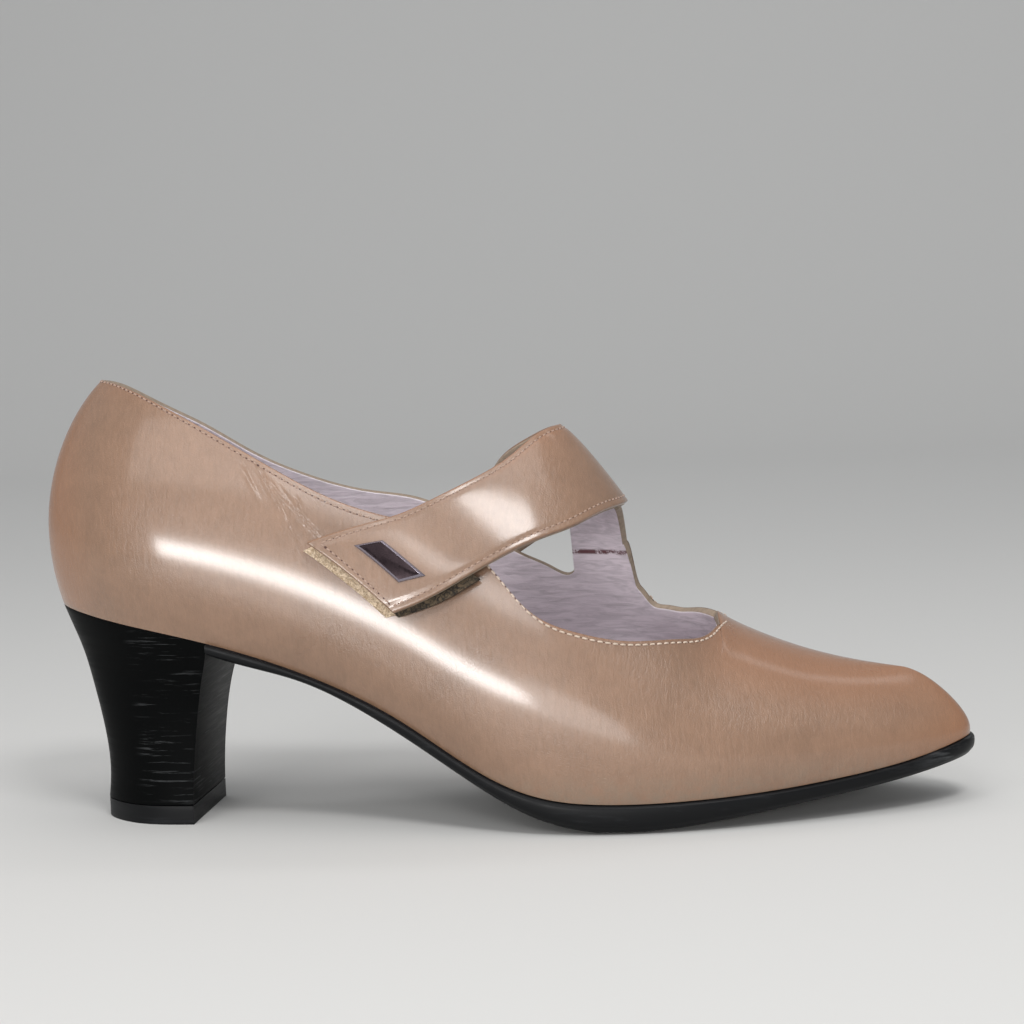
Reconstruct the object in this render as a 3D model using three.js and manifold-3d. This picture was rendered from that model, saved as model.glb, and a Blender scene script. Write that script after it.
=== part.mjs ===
// A right mary jane pump on a block heel, in millimetres: +X toe, +Y medial side, +Z up, floor at z = 0.
// The upper, strap, patches and plate all lie on one last, which the tables below describe.
import * as THREE from "three";
import Module from "manifold-3d";

const manifold = await Module();
manifold.setup();

// Driving sizes
const footLength = 245;
const ballWidth = 78.4;
const instepHeight = 128.5;
const heelHeight = 59.2;
const soleHeight = 8;
const toeSpring = 9.6;
const backLean = 25;
const toeLean = 18;
const leanPower = 6;
const upperWall = 2.2;
const insoleThickness = 2.4;
const edgeReach = 1.1;
const edgeRounding = 7;
const topPieceHeight = 5;
const waistThickness = 3.4;
const toeTread = 11.8;
const strapThickness = 2.2;
const loopThickness = 1.1;
const hookThickness = 0.95;
const plateThickness = 1.3;
const plateBevel = 0.9;
const gap = 0.3;

// Smooth curve through a table's column, level at both ends where asked
function curveThrough(places, values, levelEnds = false) {
  const count = places.length;
  const step = places.slice(1).map((place, i) => place - places[i]);
  const slope = step.map((width, i) => (values[i + 1] - values[i]) / width);
  const diagonal = new Array(count).fill(1);
  const above = new Array(count).fill(0);
  const below = new Array(count).fill(0);
  const right = new Array(count).fill(0);
  for (let i = 1; i < count - 1; i += 1) {
    below[i] = step[i - 1];
    diagonal[i] = 2 * (step[i - 1] + step[i]);
    above[i] = step[i];
    right[i] = 6 * (slope[i] - slope[i - 1]);
  }
  if (levelEnds) {
    diagonal[0] = 2 * step[0];
    above[0] = step[0];
    right[0] = 6 * slope[0];
    diagonal[count - 1] = 2 * step[count - 2];
    below[count - 1] = step[count - 2];
    right[count - 1] = -6 * slope[count - 2];
  }
  for (let i = 1; i < count; i += 1) {
    const share = below[i] / diagonal[i - 1];
    diagonal[i] -= share * above[i - 1];
    right[i] -= share * right[i - 1];
  }
  const bend = new Array(count).fill(0);
  bend[count - 1] = right[count - 1] / diagonal[count - 1];
  for (let i = count - 2; i >= 0; i -= 1) {
    bend[i] = (right[i] - above[i] * bend[i + 1]) / diagonal[i];
  }
  return (place) => {
    const x = THREE.MathUtils.clamp(place, places[0], places[count - 1]);
    let i = 0;
    while (i < count - 2 && x > places[i + 1]) i += 1;
    const d = x - places[i];
    const start = slope[i] - (step[i] * (2 * bend[i] + bend[i + 1])) / 6;
    return values[i] + d * (start + d * (bend[i] / 2 + (d * (bend[i + 1] - bend[i])) / (6 * step[i])));
  };
}

// Each table turns into one curve per named column, over its first column
function readTable(columns, rows, { place = (at) => at, levelEnds = [] } = {}) {
  const names = columns.split(" ");
  const places = rows.map((row) => place(row[0]));
  const curves = {};
  names.slice(1).forEach((name, k) => {
    curves[name] = curveThrough(places, rows.map((row) => row[k + 1]), levelEnds.includes(name));
  });
  return curves;
}

const alongFoot = (at) => (at - 0.5) * footLength;
const fanAngle = (at) => Math.acos(THREE.MathUtils.clamp(1 - 2 * at, -1, 1));

// The last: half widths of the feather line as shares of ball width, then how far each side swells
// past it, how high the swell sits, and how full the side and the top of each section are
const last = readTable(
  "at lateral medial lateralSwell medialSwell swellHeight sideFull topFull",
  [
    [0.0, 0.0, 0.0, 1.12, 1.12, 0.31, 0.5, 0.52],
    [0.039, 0.202, 0.202, 1.13, 1.13, 0.31, 0.5, 0.52],
    [0.096, 0.301, 0.301, 1.15, 1.15, 0.27, 0.5, 0.5],
    [0.186, 0.332, 0.321, 1.17, 1.18, 0.22, 0.5, 0.46],
    [0.289, 0.338, 0.293, 1.18, 1.3, 0.18, 0.48, 0.42],
    [0.395, 0.385, 0.291, 1.14, 1.42, 0.16, 0.46, 0.36],
    [0.498, 0.469, 0.375, 1.07, 1.25, 0.16, 0.45, 0.31],
    [0.592, 0.508, 0.467, 1.04, 1.08, 0.17, 0.45, 0.3],
    [0.682, 0.487, 0.492, 1.04, 1.05, 0.19, 0.46, 0.36],
    [0.772, 0.416, 0.444, 1.04, 1.05, 0.22, 0.48, 0.48],
    [0.858, 0.316, 0.365, 1.03, 1.04, 0.22, 0.48, 0.5],
    [0.932, 0.207, 0.26, 1.02, 1.03, 0.18, 0.44, 0.47],
    [0.977, 0.112, 0.161, 1.01, 1.01, 0.12, 0.4, 0.46],
    [1.0, 0.0, 0.0, 1.0, 1.0, 0.08, 0.38, 0.46],
  ],
  { place: fanAngle, levelEnds: ["lateralSwell", "medialSwell", "swellHeight", "sideFull", "topFull"] },
);

// The feather line seen from the side, where the upper meets sole and heel
const feather = readTable("at heelRise spring", [
  [0.0, 1.0, 0],
  [0.088, 0.922, 0],
  [0.186, 0.813, 0],
  [0.289, 0.648, 0],
  [0.342, 0.539, 0],
  [0.395, 0.406, 0],
  [0.448, 0.246, 0],
  [0.502, 0.102, 0],
  [0.547, 0.031, 0],
  [0.608, 0.0, 0],
  [0.69, 0.0, 0.005],
  [0.772, 0.0, 0.104],
  [0.866, 0.0, 0.333],
  [0.944, 0.0, 0.646],
  [1.0, 0.0, 1.0],
]);

// The underside of the outsole, as shares of its height over the floor at the breast and the toe
const tread = readTable("at breastRise toeRise", [
  [0.18, 1.0, 0],
  [0.211, 0.945, 0],
  [0.289, 0.824, 0],
  [0.358, 0.641, 0],
  [0.424, 0.426, 0],
  [0.481, 0.236, 0],
  [0.534, 0.088, 0],
  [0.584, 0.014, 0],
  [0.62, -0.006, 0],
  [0.66, 0.0, 0.01],
  [0.69, 0.0, 0.06],
  [0.75, 0.0, 0.21],
  [0.813, 0.0, 0.39],
  [0.92, 0.0, 0.7],
  [1.0, 0.0, 1.0],
]);

// The top line of the last, over the instep and down the vamp
const ridge = readTable("at height", [
  [0.0, 0.955],
  [0.055, 0.965],
  [0.129, 0.984],
  [0.252, 0.998],
  [0.375, 0.948],
  [0.498, 0.856],
  [0.567, 0.777],
  [0.636, 0.612],
  [0.682, 0.506],
  [0.711, 0.45],
  [0.738, 0.402],
  [0.764, 0.369],
  [0.793, 0.341],
  [0.825, 0.319],
  [0.875, 0.294],
  [0.92, 0.279],
  [0.957, 0.268],
  [1.0, 0.252],
]);

const shareOf = (x) => x / footLength + 0.5;
const featherHeight = (x) =>
  soleHeight + (heelHeight - soleHeight) * feather.heelRise(shareOf(x)) + toeSpring * feather.spring(shareOf(x));
const ridgeHeight = (x) => instepHeight * ridge.height(shareOf(x));
const treadStart = alongFoot(0.18);
const breastTread = featherHeight(treadStart) - waistThickness;
const treadHeight = (x) =>
  Math.max(0, breastTread * tread.breastRise(shareOf(x)) + toeTread * tread.toeRise(shareOf(x)));

const featherX = (angle) => (-footLength / 2) * Math.cos(angle);
const featherY = (angle, side) => side * ballWidth * (side < 0 ? last.lateral(angle) : last.medial(angle));

// Where a rib's top lands: the back and the toe of the last lean in over the foot
function spineX(angle) {
  const back = ((1 + Math.cos(angle)) / 2) ** leanPower;
  const toe = ((1 - Math.cos(angle)) / 2) ** leanPower;
  return featherX(angle) + backLean * back - toeLean * toe;
}

const bezier = (a, b, c, d, t) =>
  (1 - t) ** 3 * a + 3 * (1 - t) ** 2 * t * b + 3 * (1 - t) * t * t * c + t ** 3 * d;

// A rib climbs from the feather line (0) through its swell to the ridge (1)
const swellPlace = 0.36;
const swellEase = 0.62;
const swellStart = 0.3;
const swellMiddle = 0.64;
function ribShares(angle, side, climb) {
  const swell = side < 0 ? last.lateralSwell(angle) : last.medialSwell(angle);
  const height = last.swellHeight(angle);
  if (climb < swellPlace) {
    const t = climb / swellPlace;
    return {
      width: bezier(1, 1 + (swell - 1) * swellEase, swell, swell, t),
      height: bezier(0, swellStart * height, swellMiddle * height, height, t),
    };
  }
  const t = (climb - swellPlace) / (1 - swellPlace);
  return {
    width: bezier(swell, swell, swell * last.topFull(angle), 0, t),
    height: bezier(height, height + (1 - height) * last.sideFull(angle), 1, 1, t),
  };
}

function lastPoint(angle, side, climb) {
  const share = ribShares(angle, side, climb);
  const x = spineX(angle) + (featherX(angle) - spineX(angle)) * share.width;
  const base = featherHeight(featherX(angle));
  return new THREE.Vector3(x, featherY(angle, side) * share.width, base + (ridgeHeight(x) - base) * share.height);
}

const nudge = 0.004;
const endAngle = 0.03;
function lastNormal(angle, side, climb) {
  const safeAngle = THREE.MathUtils.clamp(angle, endAngle, Math.PI - endAngle);
  const along = lastPoint(safeAngle + nudge, side, climb).sub(lastPoint(safeAngle - nudge, side, climb));
  const low = Math.max(0, climb - nudge);
  const high = Math.min(1, climb + nudge);
  const up = lastPoint(safeAngle, side, high).sub(lastPoint(safeAngle, side, low));
  const normal = side < 0 ? along.cross(up) : up.cross(along);
  if (climb >= 1 || angle <= 0 || angle >= Math.PI) normal.y = 0;
  return normal.normalize();
}

const liftedPoint = (angle, side, climb, lift) =>
  lastPoint(angle, side, climb).addScaledVector(lastNormal(angle, side, climb), lift);

// Places on the last are given as a length x and a girth: 0 at the ridge, -1 and 1 at the feather line
const halvings = 24;
function climbAt(angle, side, height) {
  let low = 0;
  let high = 1;
  for (let i = 0; i < halvings; i += 1) {
    const middle = (low + high) / 2;
    if (ribShares(angle, side, middle).height < height) low = middle;
    else high = middle;
  }
  return (low + high) / 2;
}

function placeOnLast(x, girth, lift) {
  const side = girth < 0 ? -1 : 1;
  const height = 1 - Math.min(1, Math.abs(girth)) ** 2;
  let low = 0;
  let high = Math.PI;
  for (let i = 0; i < halvings; i += 1) {
    const middle = (low + high) / 2;
    if (lastPoint(middle, side, climbAt(middle, side, height)).x < x) low = middle;
    else high = middle;
  }
  const angle = (low + high) / 2;
  return liftedPoint(angle, side, climbAt(angle, side, height), lift);
}

// A closed solid from rings whose two halves mirror each other, so that ends close in strips
const weldPlaces = 1e4;
function solidFromRings(rings) {
  const count = rings[0].length;
  const known = new Map();
  const points = [];
  const indexOf = (point) => {
    const key = point.toArray().map((value) => Math.round(value * weldPlaces)).join(",");
    if (!known.has(key)) {
      known.set(key, points.length);
      points.push(point);
    }
    return known.get(key);
  };
  const grid = rings.map((ring) => ring.map(indexOf));
  const faces = [];
  const addFace = (a, b, c) => {
    if (a !== b && b !== c && c !== a) faces.push([a, b, c]);
  };
  for (let i = 0; i < grid.length - 1; i += 1) {
    for (let j = 0; j < count; j += 1) {
      const k = (j + 1) % count;
      addFace(grid[i][j], grid[i][k], grid[i + 1][k]);
      addFace(grid[i][j], grid[i + 1][k], grid[i + 1][j]);
    }
  }
  for (const [ring, facesBack] of [[grid[0], true], [grid[grid.length - 1], false]]) {
    for (let j = 0; j < count / 2 - 1; j += 1) {
      const mirror = count - 1 - j;
      const strip = [[ring[j], ring[j + 1], ring[mirror]], [ring[j + 1], ring[mirror - 1], ring[mirror]]];
      for (const [a, b, c] of strip) {
        if (facesBack) addFace(c, b, a);
        else addFace(a, b, c);
      }
    }
  }
  let volume = 0;
  for (const [a, b, c] of faces) {
    volume += points[a].dot(points[b].clone().cross(points[c]));
  }
  if (volume < 0) faces.forEach((face) => face.reverse());
  const mesh = new manifold.Mesh({
    numProp: 3,
    vertProperties: new Float32Array(points.flatMap((point) => point.toArray())),
    triVerts: new Uint32Array(faces.flat()),
  });
  return new manifold.Manifold(mesh);
}

const spread = (count, from = 0, to = 1) =>
  Array.from({ length: count + 1 }, (_, i) => from + ((to - from) * i) / count);

// A sheet on the last between two edges, each given by columns of a table over its own steps
function sheet(edges, steps, across, lowLift, highLift, inset = 0) {
  const row = (step, lift, shrink) =>
    across.map((share) => {
      const s = shrink + (1 - 2 * shrink) * share;
      const at = edges.backAt(step) + (edges.frontAt(step) - edges.backAt(step)) * s;
      const girth = edges.backGirth(step) + (edges.frontGirth(step) - edges.backGirth(step)) * s;
      return placeOnLast(alongFoot(at), girth, lift(step));
    });
  return solidFromRings(
    steps.map((step, i) => {
      const end = steps.length - 1;
      const topStep = inset > 0 && (i === 0 || i === end) ? step + (i === 0 ? inset : -inset) : step;
      return [...row(step, lowLift, 0), ...row(topStep, highLift, inset).reverse()];
    }),
  );
}

// The whole last, grown by lift, its underside lowered by drop
const ribCount = 64;
const ribAngles = spread(ribCount, 0, Math.PI);
const climbs = [0, 0.09, 0.18, 0.27, 0.36, 0.46, 0.56, 0.66, 0.76, 0.84, 0.92, 1];
function lastBody(lift, drop) {
  return solidFromRings(
    ribAngles.map((angle) => {
      const half = (side) => {
        const rib = climbs.map((climb) => liftedPoint(angle, side, climb, lift));
        const foot = rib[0].clone();
        foot.z -= drop;
        return [foot, ...rib];
      };
      return [...half(-1), ...half(1).reverse()];
    }),
  );
}

// A prism across the shoe from a side view's outline, between two y values
function prism(outline, fromY, toY) {
  const shape = new THREE.Shape(outline.map(([x, z]) => new THREE.Vector2(x, z)));
  const geometry = new THREE.ExtrudeGeometry(shape, { depth: toY - fromY, bevelEnabled: false, curveSegments: 1 });
  geometry.rotateX(Math.PI / 2);
  geometry.translate(0, toY, 0);
  return solidFromGeometry(geometry);
}

function solidFromGeometry(geometry) {
  const source = geometry.getAttribute("position");
  const order = geometry.index ? Array.from(geometry.index.array) : spread(source.count - 1, 0, source.count - 1);
  const known = new Map();
  const flat = [];
  const corners = order.map((i) => {
    const point = [source.getX(i), source.getY(i), source.getZ(i)];
    const key = point.map((value) => Math.round(value * weldPlaces)).join(",");
    if (!known.has(key)) {
      known.set(key, flat.length / 3);
      flat.push(...point);
    }
    return known.get(key);
  });
  const mesh = new manifold.Mesh({
    numProp: 3,
    vertProperties: new Float32Array(flat),
    triVerts: new Uint32Array(corners),
  });
  return new manifold.Manifold(mesh);
}

// Edges of the collar on the last, each row a share of the length and a girth, cut in the side view
const lateralCollar = readTable("step at girth", [
  [0, 0.03, -0.25],
  [1, 0.058, -0.262],
  [2, 0.087, -0.316],
  [3, 0.147, -0.452],
  [4, 0.189, -0.527],
  [5, 0.272, -0.627],
  [6, 0.342, -0.66],
  [7, 0.388, -0.652],
  [8, 0.43, -0.634],
]);
const medialCollar = readTable("step at girth", [
  [0, 0.03, 0.25],
  [1, 0.058, 0.262],
  [2, 0.085, 0.363],
  [3, 0.14, 0.512],
  [4, 0.197, 0.613],
  [5, 0.254, 0.661],
  [6, 0.336, 0.672],
  [7, 0.39, 0.656],
  [8, 0.44, 0.66],
  [9, 0.483, 0.675],
  [10, 0.51, 0.668],
  [11, 0.54, 0.672],
]);
const earBack = readTable("step at girth", [
  [0, 0.556, 0.673],
  [1, 0.5665, 0.655],
  [2, 0.57, 0.6],
  [3, 0.573, 0.5],
  [4, 0.577, 0.3],
]);

// The throat in front of the collar, from its lateral edge to the ridge, then from the ridge to the
// front of the ear and its medial edge
const pastRidge = 0.012;
const lateralThroat = readTable("step backAt backGirth frontAt frontGirth", [
  [0, 0.425, -0.636, 0.425, pastRidge],
  [1, 0.466, -0.63, 0.466, pastRidge],
  [2, 0.495, -0.655, 0.495, pastRidge],
  [3, 0.53, -0.703, 0.53, pastRidge],
  [4, 0.582, -0.708, 0.582, pastRidge],
  [5, 0.642, -0.639, 0.642, pastRidge],
  [6, 0.674, -0.568, 0.674, pastRidge],
  [7, 0.704, -0.457, 0.704, pastRidge],
  [8, 0.726, -0.3, 0.726, pastRidge],
  [9, 0.7385, -0.05, 0.7385, pastRidge],
]);
const medialThroat = readTable("step backAt backGirth frontAt frontGirth", [
  [0, 0.629, -pastRidge, 0.6345, 0.4],
  [1, 0.634, -pastRidge, 0.638, 0.49],
  [2, 0.643, -pastRidge, 0.645, 0.545],
  [3, 0.655, -pastRidge, 0.655, 0.566],
  [4, 0.672, -pastRidge, 0.672, 0.55],
  [5, 0.692, -pastRidge, 0.692, 0.498],
  [6, 0.713, -pastRidge, 0.713, 0.393],
  [7, 0.73, -pastRidge, 0.73, 0.23],
  [8, 0.7385, -pastRidge, 0.7385, 0.05],
]);

function sideView(edge, steps, perStep) {
  return spread(steps * perStep, 0, steps).map((step) => {
    const point = placeOnLast(alongFoot(edge.at(step)), edge.girth(step), 0);
    return [point.x, point.z];
  });
}

const farOut = footLength;
const clearance = 1;
const seamOverlap = 0.05;
function openingCutters() {
  const back = -farOut;
  const top = farOut;
  const beforeFirst = ([, z]) => [back, z];
  const lateral = sideView(lateralCollar, 8, 3);
  const lateralEnd = lateral[lateral.length - 1];
  const lateralOutline = [beforeFirst(lateral[0]), ...lateral, [lateralEnd[0], top], [back, top]];
  const quarter = sideView(medialCollar, 11, 3);
  const rearEar = sideView(earBack, 4, 3);
  const rearEarEnd = rearEar[rearEar.length - 1];
  const rearOutline = [beforeFirst(quarter[0]), ...quarter, ...rearEar, [rearEarEnd[0], top], [back, top]];
  const inside = () => -upperWall - clearance;
  const outside = () => clearance;
  return [
    prism(lateralOutline, -ballWidth, seamOverlap),
    prism(rearOutline, -seamOverlap, ballWidth),
    sheet(lateralThroat, spread(36, 0, 9), spread(8), inside, outside),
    sheet(medialThroat, spread(32, 0, 8), spread(6), inside, outside),
  ];
}

const sliver = 0.03;
function makeUpper() {
  const lining = lastBody(-upperWall, heelHeight / 4);
  const wall = openingCutters().reduce((left, cutter) => left.subtract(cutter), lastBody(0, 0).subtract(lining));
  return wall.asOriginal().simplify(sliver);
}

// Places on the feather line, moved outward in plan
function featherOffset(angle, side, reach) {
  const safeAngle = THREE.MathUtils.clamp(angle, endAngle, Math.PI - endAngle);
  const step = new THREE.Vector2(
    featherX(safeAngle + nudge) - featherX(safeAngle - nudge),
    featherY(safeAngle + nudge, side) - featherY(safeAngle - nudge, side),
  ).normalize();
  const outward = new THREE.Vector2(-step.y * side, step.x * side);
  if (angle <= 0 || angle >= Math.PI) outward.set(-Math.cos(angle), 0);
  return [featherX(angle) + outward.x * reach, featherY(angle, side) + outward.y * reach];
}

// The insole lies on the feather line inside the upper's wall, its top edge drawn in like a cut board's
const insoleInset = upperWall + gap;
const insoleBevel = 1.4;
const insoleEdge = [
  [-insoleInset, 0],
  [-insoleInset, insoleThickness * 0.3],
  [-insoleInset - insoleBevel, insoleThickness],
];
function makeInsole() {
  return solidFromRings(
    ribAngles.map((angle) => {
      const half = (side) =>
        insoleEdge.map(([reach, height]) => {
          const [x, y] = featherOffset(angle, side, reach);
          return new THREE.Vector3(x, y, featherHeight(x) + height);
        });
      return [...half(-1), ...half(1).reverse()];
    }),
  );
}

// The outsole runs from the heel's breast to the toe, its edge rounded and its tread slightly crowned
const breastPlace = 0.184;
// Each corner of the sole's edge: how far out and how far in of the feather line, and its share of the
// way down from the top of the sole to its tread
const soleEdge = [
  [0, 1, 0],
  [0.3, 0, 0],
  [0.8, 0, 0.07],
  [1, 0, 0.22],
  [0.95, 0, 0.45],
  [0.6, 0, 0.66],
  [0, 0.02, 0.81],
  [0, 0.14, 0.91],
  [0, 0.4, 0.965],
  [0, 1, 1],
];
function makeOutsole() {
  const breastX = alongFoot(breastPlace);
  const firstAngle = fanAngle(breastPlace);
  const stations = [firstAngle, ...ribAngles.filter((angle) => angle > firstAngle + nudge)];
  return solidFromRings(
    stations.map((angle) => {
      const half = (side) =>
        soleEdge.map(([outward, inward, drop]) => {
          const [offsetX, y] = featherOffset(angle, side, edgeReach * outward - edgeRounding * inward);
          const x = Math.max(breastX, offsetX);
          const top = featherHeight(x) - gap;
          return new THREE.Vector3(x, y, top - (top - treadHeight(x)) * drop);
        });
      return [...half(-1), ...half(1).reverse()];
    }),
  );
}

// The block heel and its top piece: places in length as shares of the seat, widths as shares of its own
const seatLength = 0.184 * footLength;
const heelForm = readTable("height back breast width", [
  [0, 0.222, 0.84, 0.73],
  [0.1, 0.234, 0.845, 0.72],
  [0.35, 0.216, 0.868, 0.71],
  [0.6, 0.158, 0.905, 0.74],
  [0.8, 0.096, 0.952, 0.84],
  [0.92, 0.04, 0.985, 0.93],
  [1, 0.002, 0.995, 0.985],
]);
const heelStations = 14;
const heelLevels = [0, 0.08, 0.2, 0.35, 0.5, 0.64, 0.76, 0.86, 0.94, 1];
function heelRing(height, levelOf) {
  const halfRing = (side) =>
    spread(heelStations).map((step) => {
      const along = 1 - Math.cos((step * Math.PI) / 2);
      const seatX = alongFoot(0) + seatLength * along;
      const share = heelForm.back(height) + (heelForm.breast(height) - heelForm.back(height)) * along;
      const width = featherY(fanAngle(shareOf(seatX)), side) * heelForm.width(height);
      const x = alongFoot(0) + seatLength * share;
      return new THREE.Vector3(x, width, levelOf(x));
    });
  return [...halfRing(-1).reverse(), ...halfRing(1)];
}

function makeHeel() {
  const base = topPieceHeight + gap;
  return solidFromRings(
    heelLevels.map((height) => heelRing(height, (x) => base + (featherHeight(x) - gap - base) * height)),
  );
}

function makeTopPiece() {
  return solidFromRings([0, topPieceHeight].map((z) => heelRing(0, () => z)));
}

const strapEdges = readTable("step backAt backGirth frontAt frontGirth lift", [
  [0, 0.305, -0.766, 0.399, -0.826, 3],
  [1, 0.378, -0.679, 0.442, -0.76, 3],
  [2, 0.427, -0.6, 0.498, -0.657, 2.5],
  [3, 0.492, -0.45, 0.551, -0.555, 1.3],
  [4, 0.528, -0.31, 0.59, -0.43, 0.6],
  [5, 0.552, -0.14, 0.62, -0.215, 0.4],
  [6, 0.559, 0, 0.63, 0, 0.4],
  [7, 0.552, 0.14, 0.62, 0.22, 0.4],
  [8, 0.525, 0.3, 0.588, 0.44, 0.4],
  [9, 0.49, 0.43, 0.55, 0.57, 0.4],
  [10, 0.462, 0.553, 0.5, 0.68, 0.4],
  [11, 0.42, 0.632, 0.452, 0.765, 0.4],
  [12, 0.36, 0.72, 0.41, 0.83, 0.4],
]);
const strapLift = (step) => Math.max(gap, strapEdges.lift(step));
function makeStrap() {
  const steps = spread(44, 0, 12);
  return sheet(strapEdges, steps, spread(6), strapLift, (step) => strapLift(step) + strapThickness);
}

const loopEdges = readTable("step backAt backGirth frontAt frontGirth", [
  [0, 0.2995, -0.782, 0.3875, -0.842],
  [1, 0.345, -0.722, 0.415, -0.806],
  [2, 0.39, -0.672, 0.448, -0.758],
]);
function makeLoopPatch() {
  return sheet(loopEdges, spread(8, 0, 2), spread(5), () => gap, () => gap + loopThickness);
}

const hookEdges = readTable("step backAt backGirth frontAt frontGirth", [
  [0, 0.312, -0.757, 0.402, -0.83],
  [1, 0.358, -0.706, 0.446, -0.768],
  [2, 0.41, -0.663, 0.488, -0.692],
]);
const hookLift = gap + loopThickness + gap;
function makeHookPatch() {
  return sheet(hookEdges, spread(8, 0, 2), spread(5), () => hookLift, () => hookLift + hookThickness);
}

const plateEdges = readTable("step backAt backGirth frontAt frontGirth", [
  [0, 0.357, -0.741, 0.387, -0.71],
  [1, 0.405, -0.771, 0.433, -0.736],
]);
const plateLift = strapEdges.lift(0) + strapThickness + gap;
function makePlate() {
  const top = plateLift + plateThickness;
  return sheet(plateEdges, spread(4), spread(3), () => plateLift, () => top, plateBevel * 0.1);
}

// Finishes, and each solid as a named mesh
const finish = (color, roughness, metalness = 0) => new THREE.MeshStandardMaterial({ color, roughness, metalness });
const taupeLeather = finish(0xa58776, 0.35);
const liningLeather = finish(0xa59ba5, 0.6);
const blackRubber = finish(0x17181a, 0.45);
const blackCover = finish(0x101112, 0.4);
const hookFabric = finish(0x34352c, 0.95);
const loopFabric = finish(0xcfc3a8, 0.95);
const gunMetal = finish(0x3a3638, 0.3, 0.9);

function meshOf(name, solid, material) {
  const made = solid.getMesh();
  const geometry = new THREE.BufferGeometry();
  geometry.setAttribute("position", new THREE.BufferAttribute(new Float32Array(made.vertProperties), 3));
  geometry.setIndex(Array.from(made.triVerts));
  const mesh = new THREE.Mesh(geometry, material);
  mesh.name = name;
  return mesh;
}

const shoe = new THREE.Group();
shoe.add(
  meshOf("upper", makeUpper(), taupeLeather),
  meshOf("insole", makeInsole(), liningLeather),
  meshOf("outsole", makeOutsole(), blackRubber),
  meshOf("heel", makeHeel(), blackCover),
  meshOf("top_piece", makeTopPiece(), blackRubber),
  meshOf("strap", makeStrap(), taupeLeather),
  meshOf("hook_patch", makeHookPatch(), hookFabric),
  meshOf("loop_patch", makeLoopPatch(), loopFabric),
  meshOf("plate", makePlate(), gunMetal),
);
const box = new THREE.Box3().setFromObject(shoe);
const middle = box.getCenter(new THREE.Vector3());
shoe.position.set(-middle.x, -middle.y, 0);

export default shoe;
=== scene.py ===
"""The looks of a right mary jane pump on a block heel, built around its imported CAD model."""

import math

import bpy
import numpy as np
from mathutils import Matrix, Vector


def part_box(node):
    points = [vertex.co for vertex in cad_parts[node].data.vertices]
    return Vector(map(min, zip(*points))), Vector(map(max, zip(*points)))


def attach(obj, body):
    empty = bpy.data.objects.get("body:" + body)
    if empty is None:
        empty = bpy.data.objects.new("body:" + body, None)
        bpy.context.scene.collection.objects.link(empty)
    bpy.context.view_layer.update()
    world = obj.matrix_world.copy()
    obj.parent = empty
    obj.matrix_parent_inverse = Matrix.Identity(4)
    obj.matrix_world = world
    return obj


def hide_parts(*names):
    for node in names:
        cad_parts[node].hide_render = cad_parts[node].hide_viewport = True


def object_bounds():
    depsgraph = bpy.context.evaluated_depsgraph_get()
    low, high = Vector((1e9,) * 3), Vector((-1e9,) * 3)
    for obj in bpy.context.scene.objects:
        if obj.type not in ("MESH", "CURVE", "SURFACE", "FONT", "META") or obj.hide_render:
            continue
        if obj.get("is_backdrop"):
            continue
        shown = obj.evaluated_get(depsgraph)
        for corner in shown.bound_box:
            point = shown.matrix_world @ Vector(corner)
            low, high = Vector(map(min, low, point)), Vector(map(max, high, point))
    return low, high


bl_info = {
    "name": "Mary jane pump",
    "version": (1, 0, 0),
    "blender": (4, 5, 0),
    "location": "View3D > Sidebar > Shoe",
    "description": "Builds the upper, strap, sole, heel, stitches and plate of one pump",
    "category": "Object",
}

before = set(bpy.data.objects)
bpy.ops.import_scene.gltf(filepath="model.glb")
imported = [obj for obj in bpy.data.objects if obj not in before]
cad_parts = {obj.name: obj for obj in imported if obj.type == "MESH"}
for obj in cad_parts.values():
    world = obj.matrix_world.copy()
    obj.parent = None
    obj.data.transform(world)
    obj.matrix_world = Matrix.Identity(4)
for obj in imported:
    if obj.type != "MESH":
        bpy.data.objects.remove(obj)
cad_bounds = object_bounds()
MM = 0.001

# Driving sizes of the shoe, in metres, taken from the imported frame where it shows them
SOLE_LOW, SOLE_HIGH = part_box("outsole")
EDGE_REACH = 1.1 * MM
EDGE_ROUNDING = 7 * MM
FOOT_LENGTH = 245 * MM
BALL_WIDTH = 78.4 * MM
INSTEP_HEIGHT = 128.5 * MM
HEEL_HEIGHT = 59.2 * MM
SOLE_HEIGHT = 8 * MM
TOE_SPRING = 9.6 * MM
BACK_LEAN = 25 * MM
TOE_LEAN = 18 * MM
LEAN_POWER = 6
TOE_TREAD = 11.8 * MM
WAIST_THICKNESS = 3.4 * MM
TOP_PIECE_HEIGHT = 5 * MM
GAP = 0.3 * MM
TOE_X = SOLE_HIGH[0] - EDGE_REACH
LATERAL_SHARE = 0.5085
LATERAL_REACH = LATERAL_SHARE * BALL_WIDTH + EDGE_REACH
MIDDLE_Y = SOLE_LOW[1] + LATERAL_REACH


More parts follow.
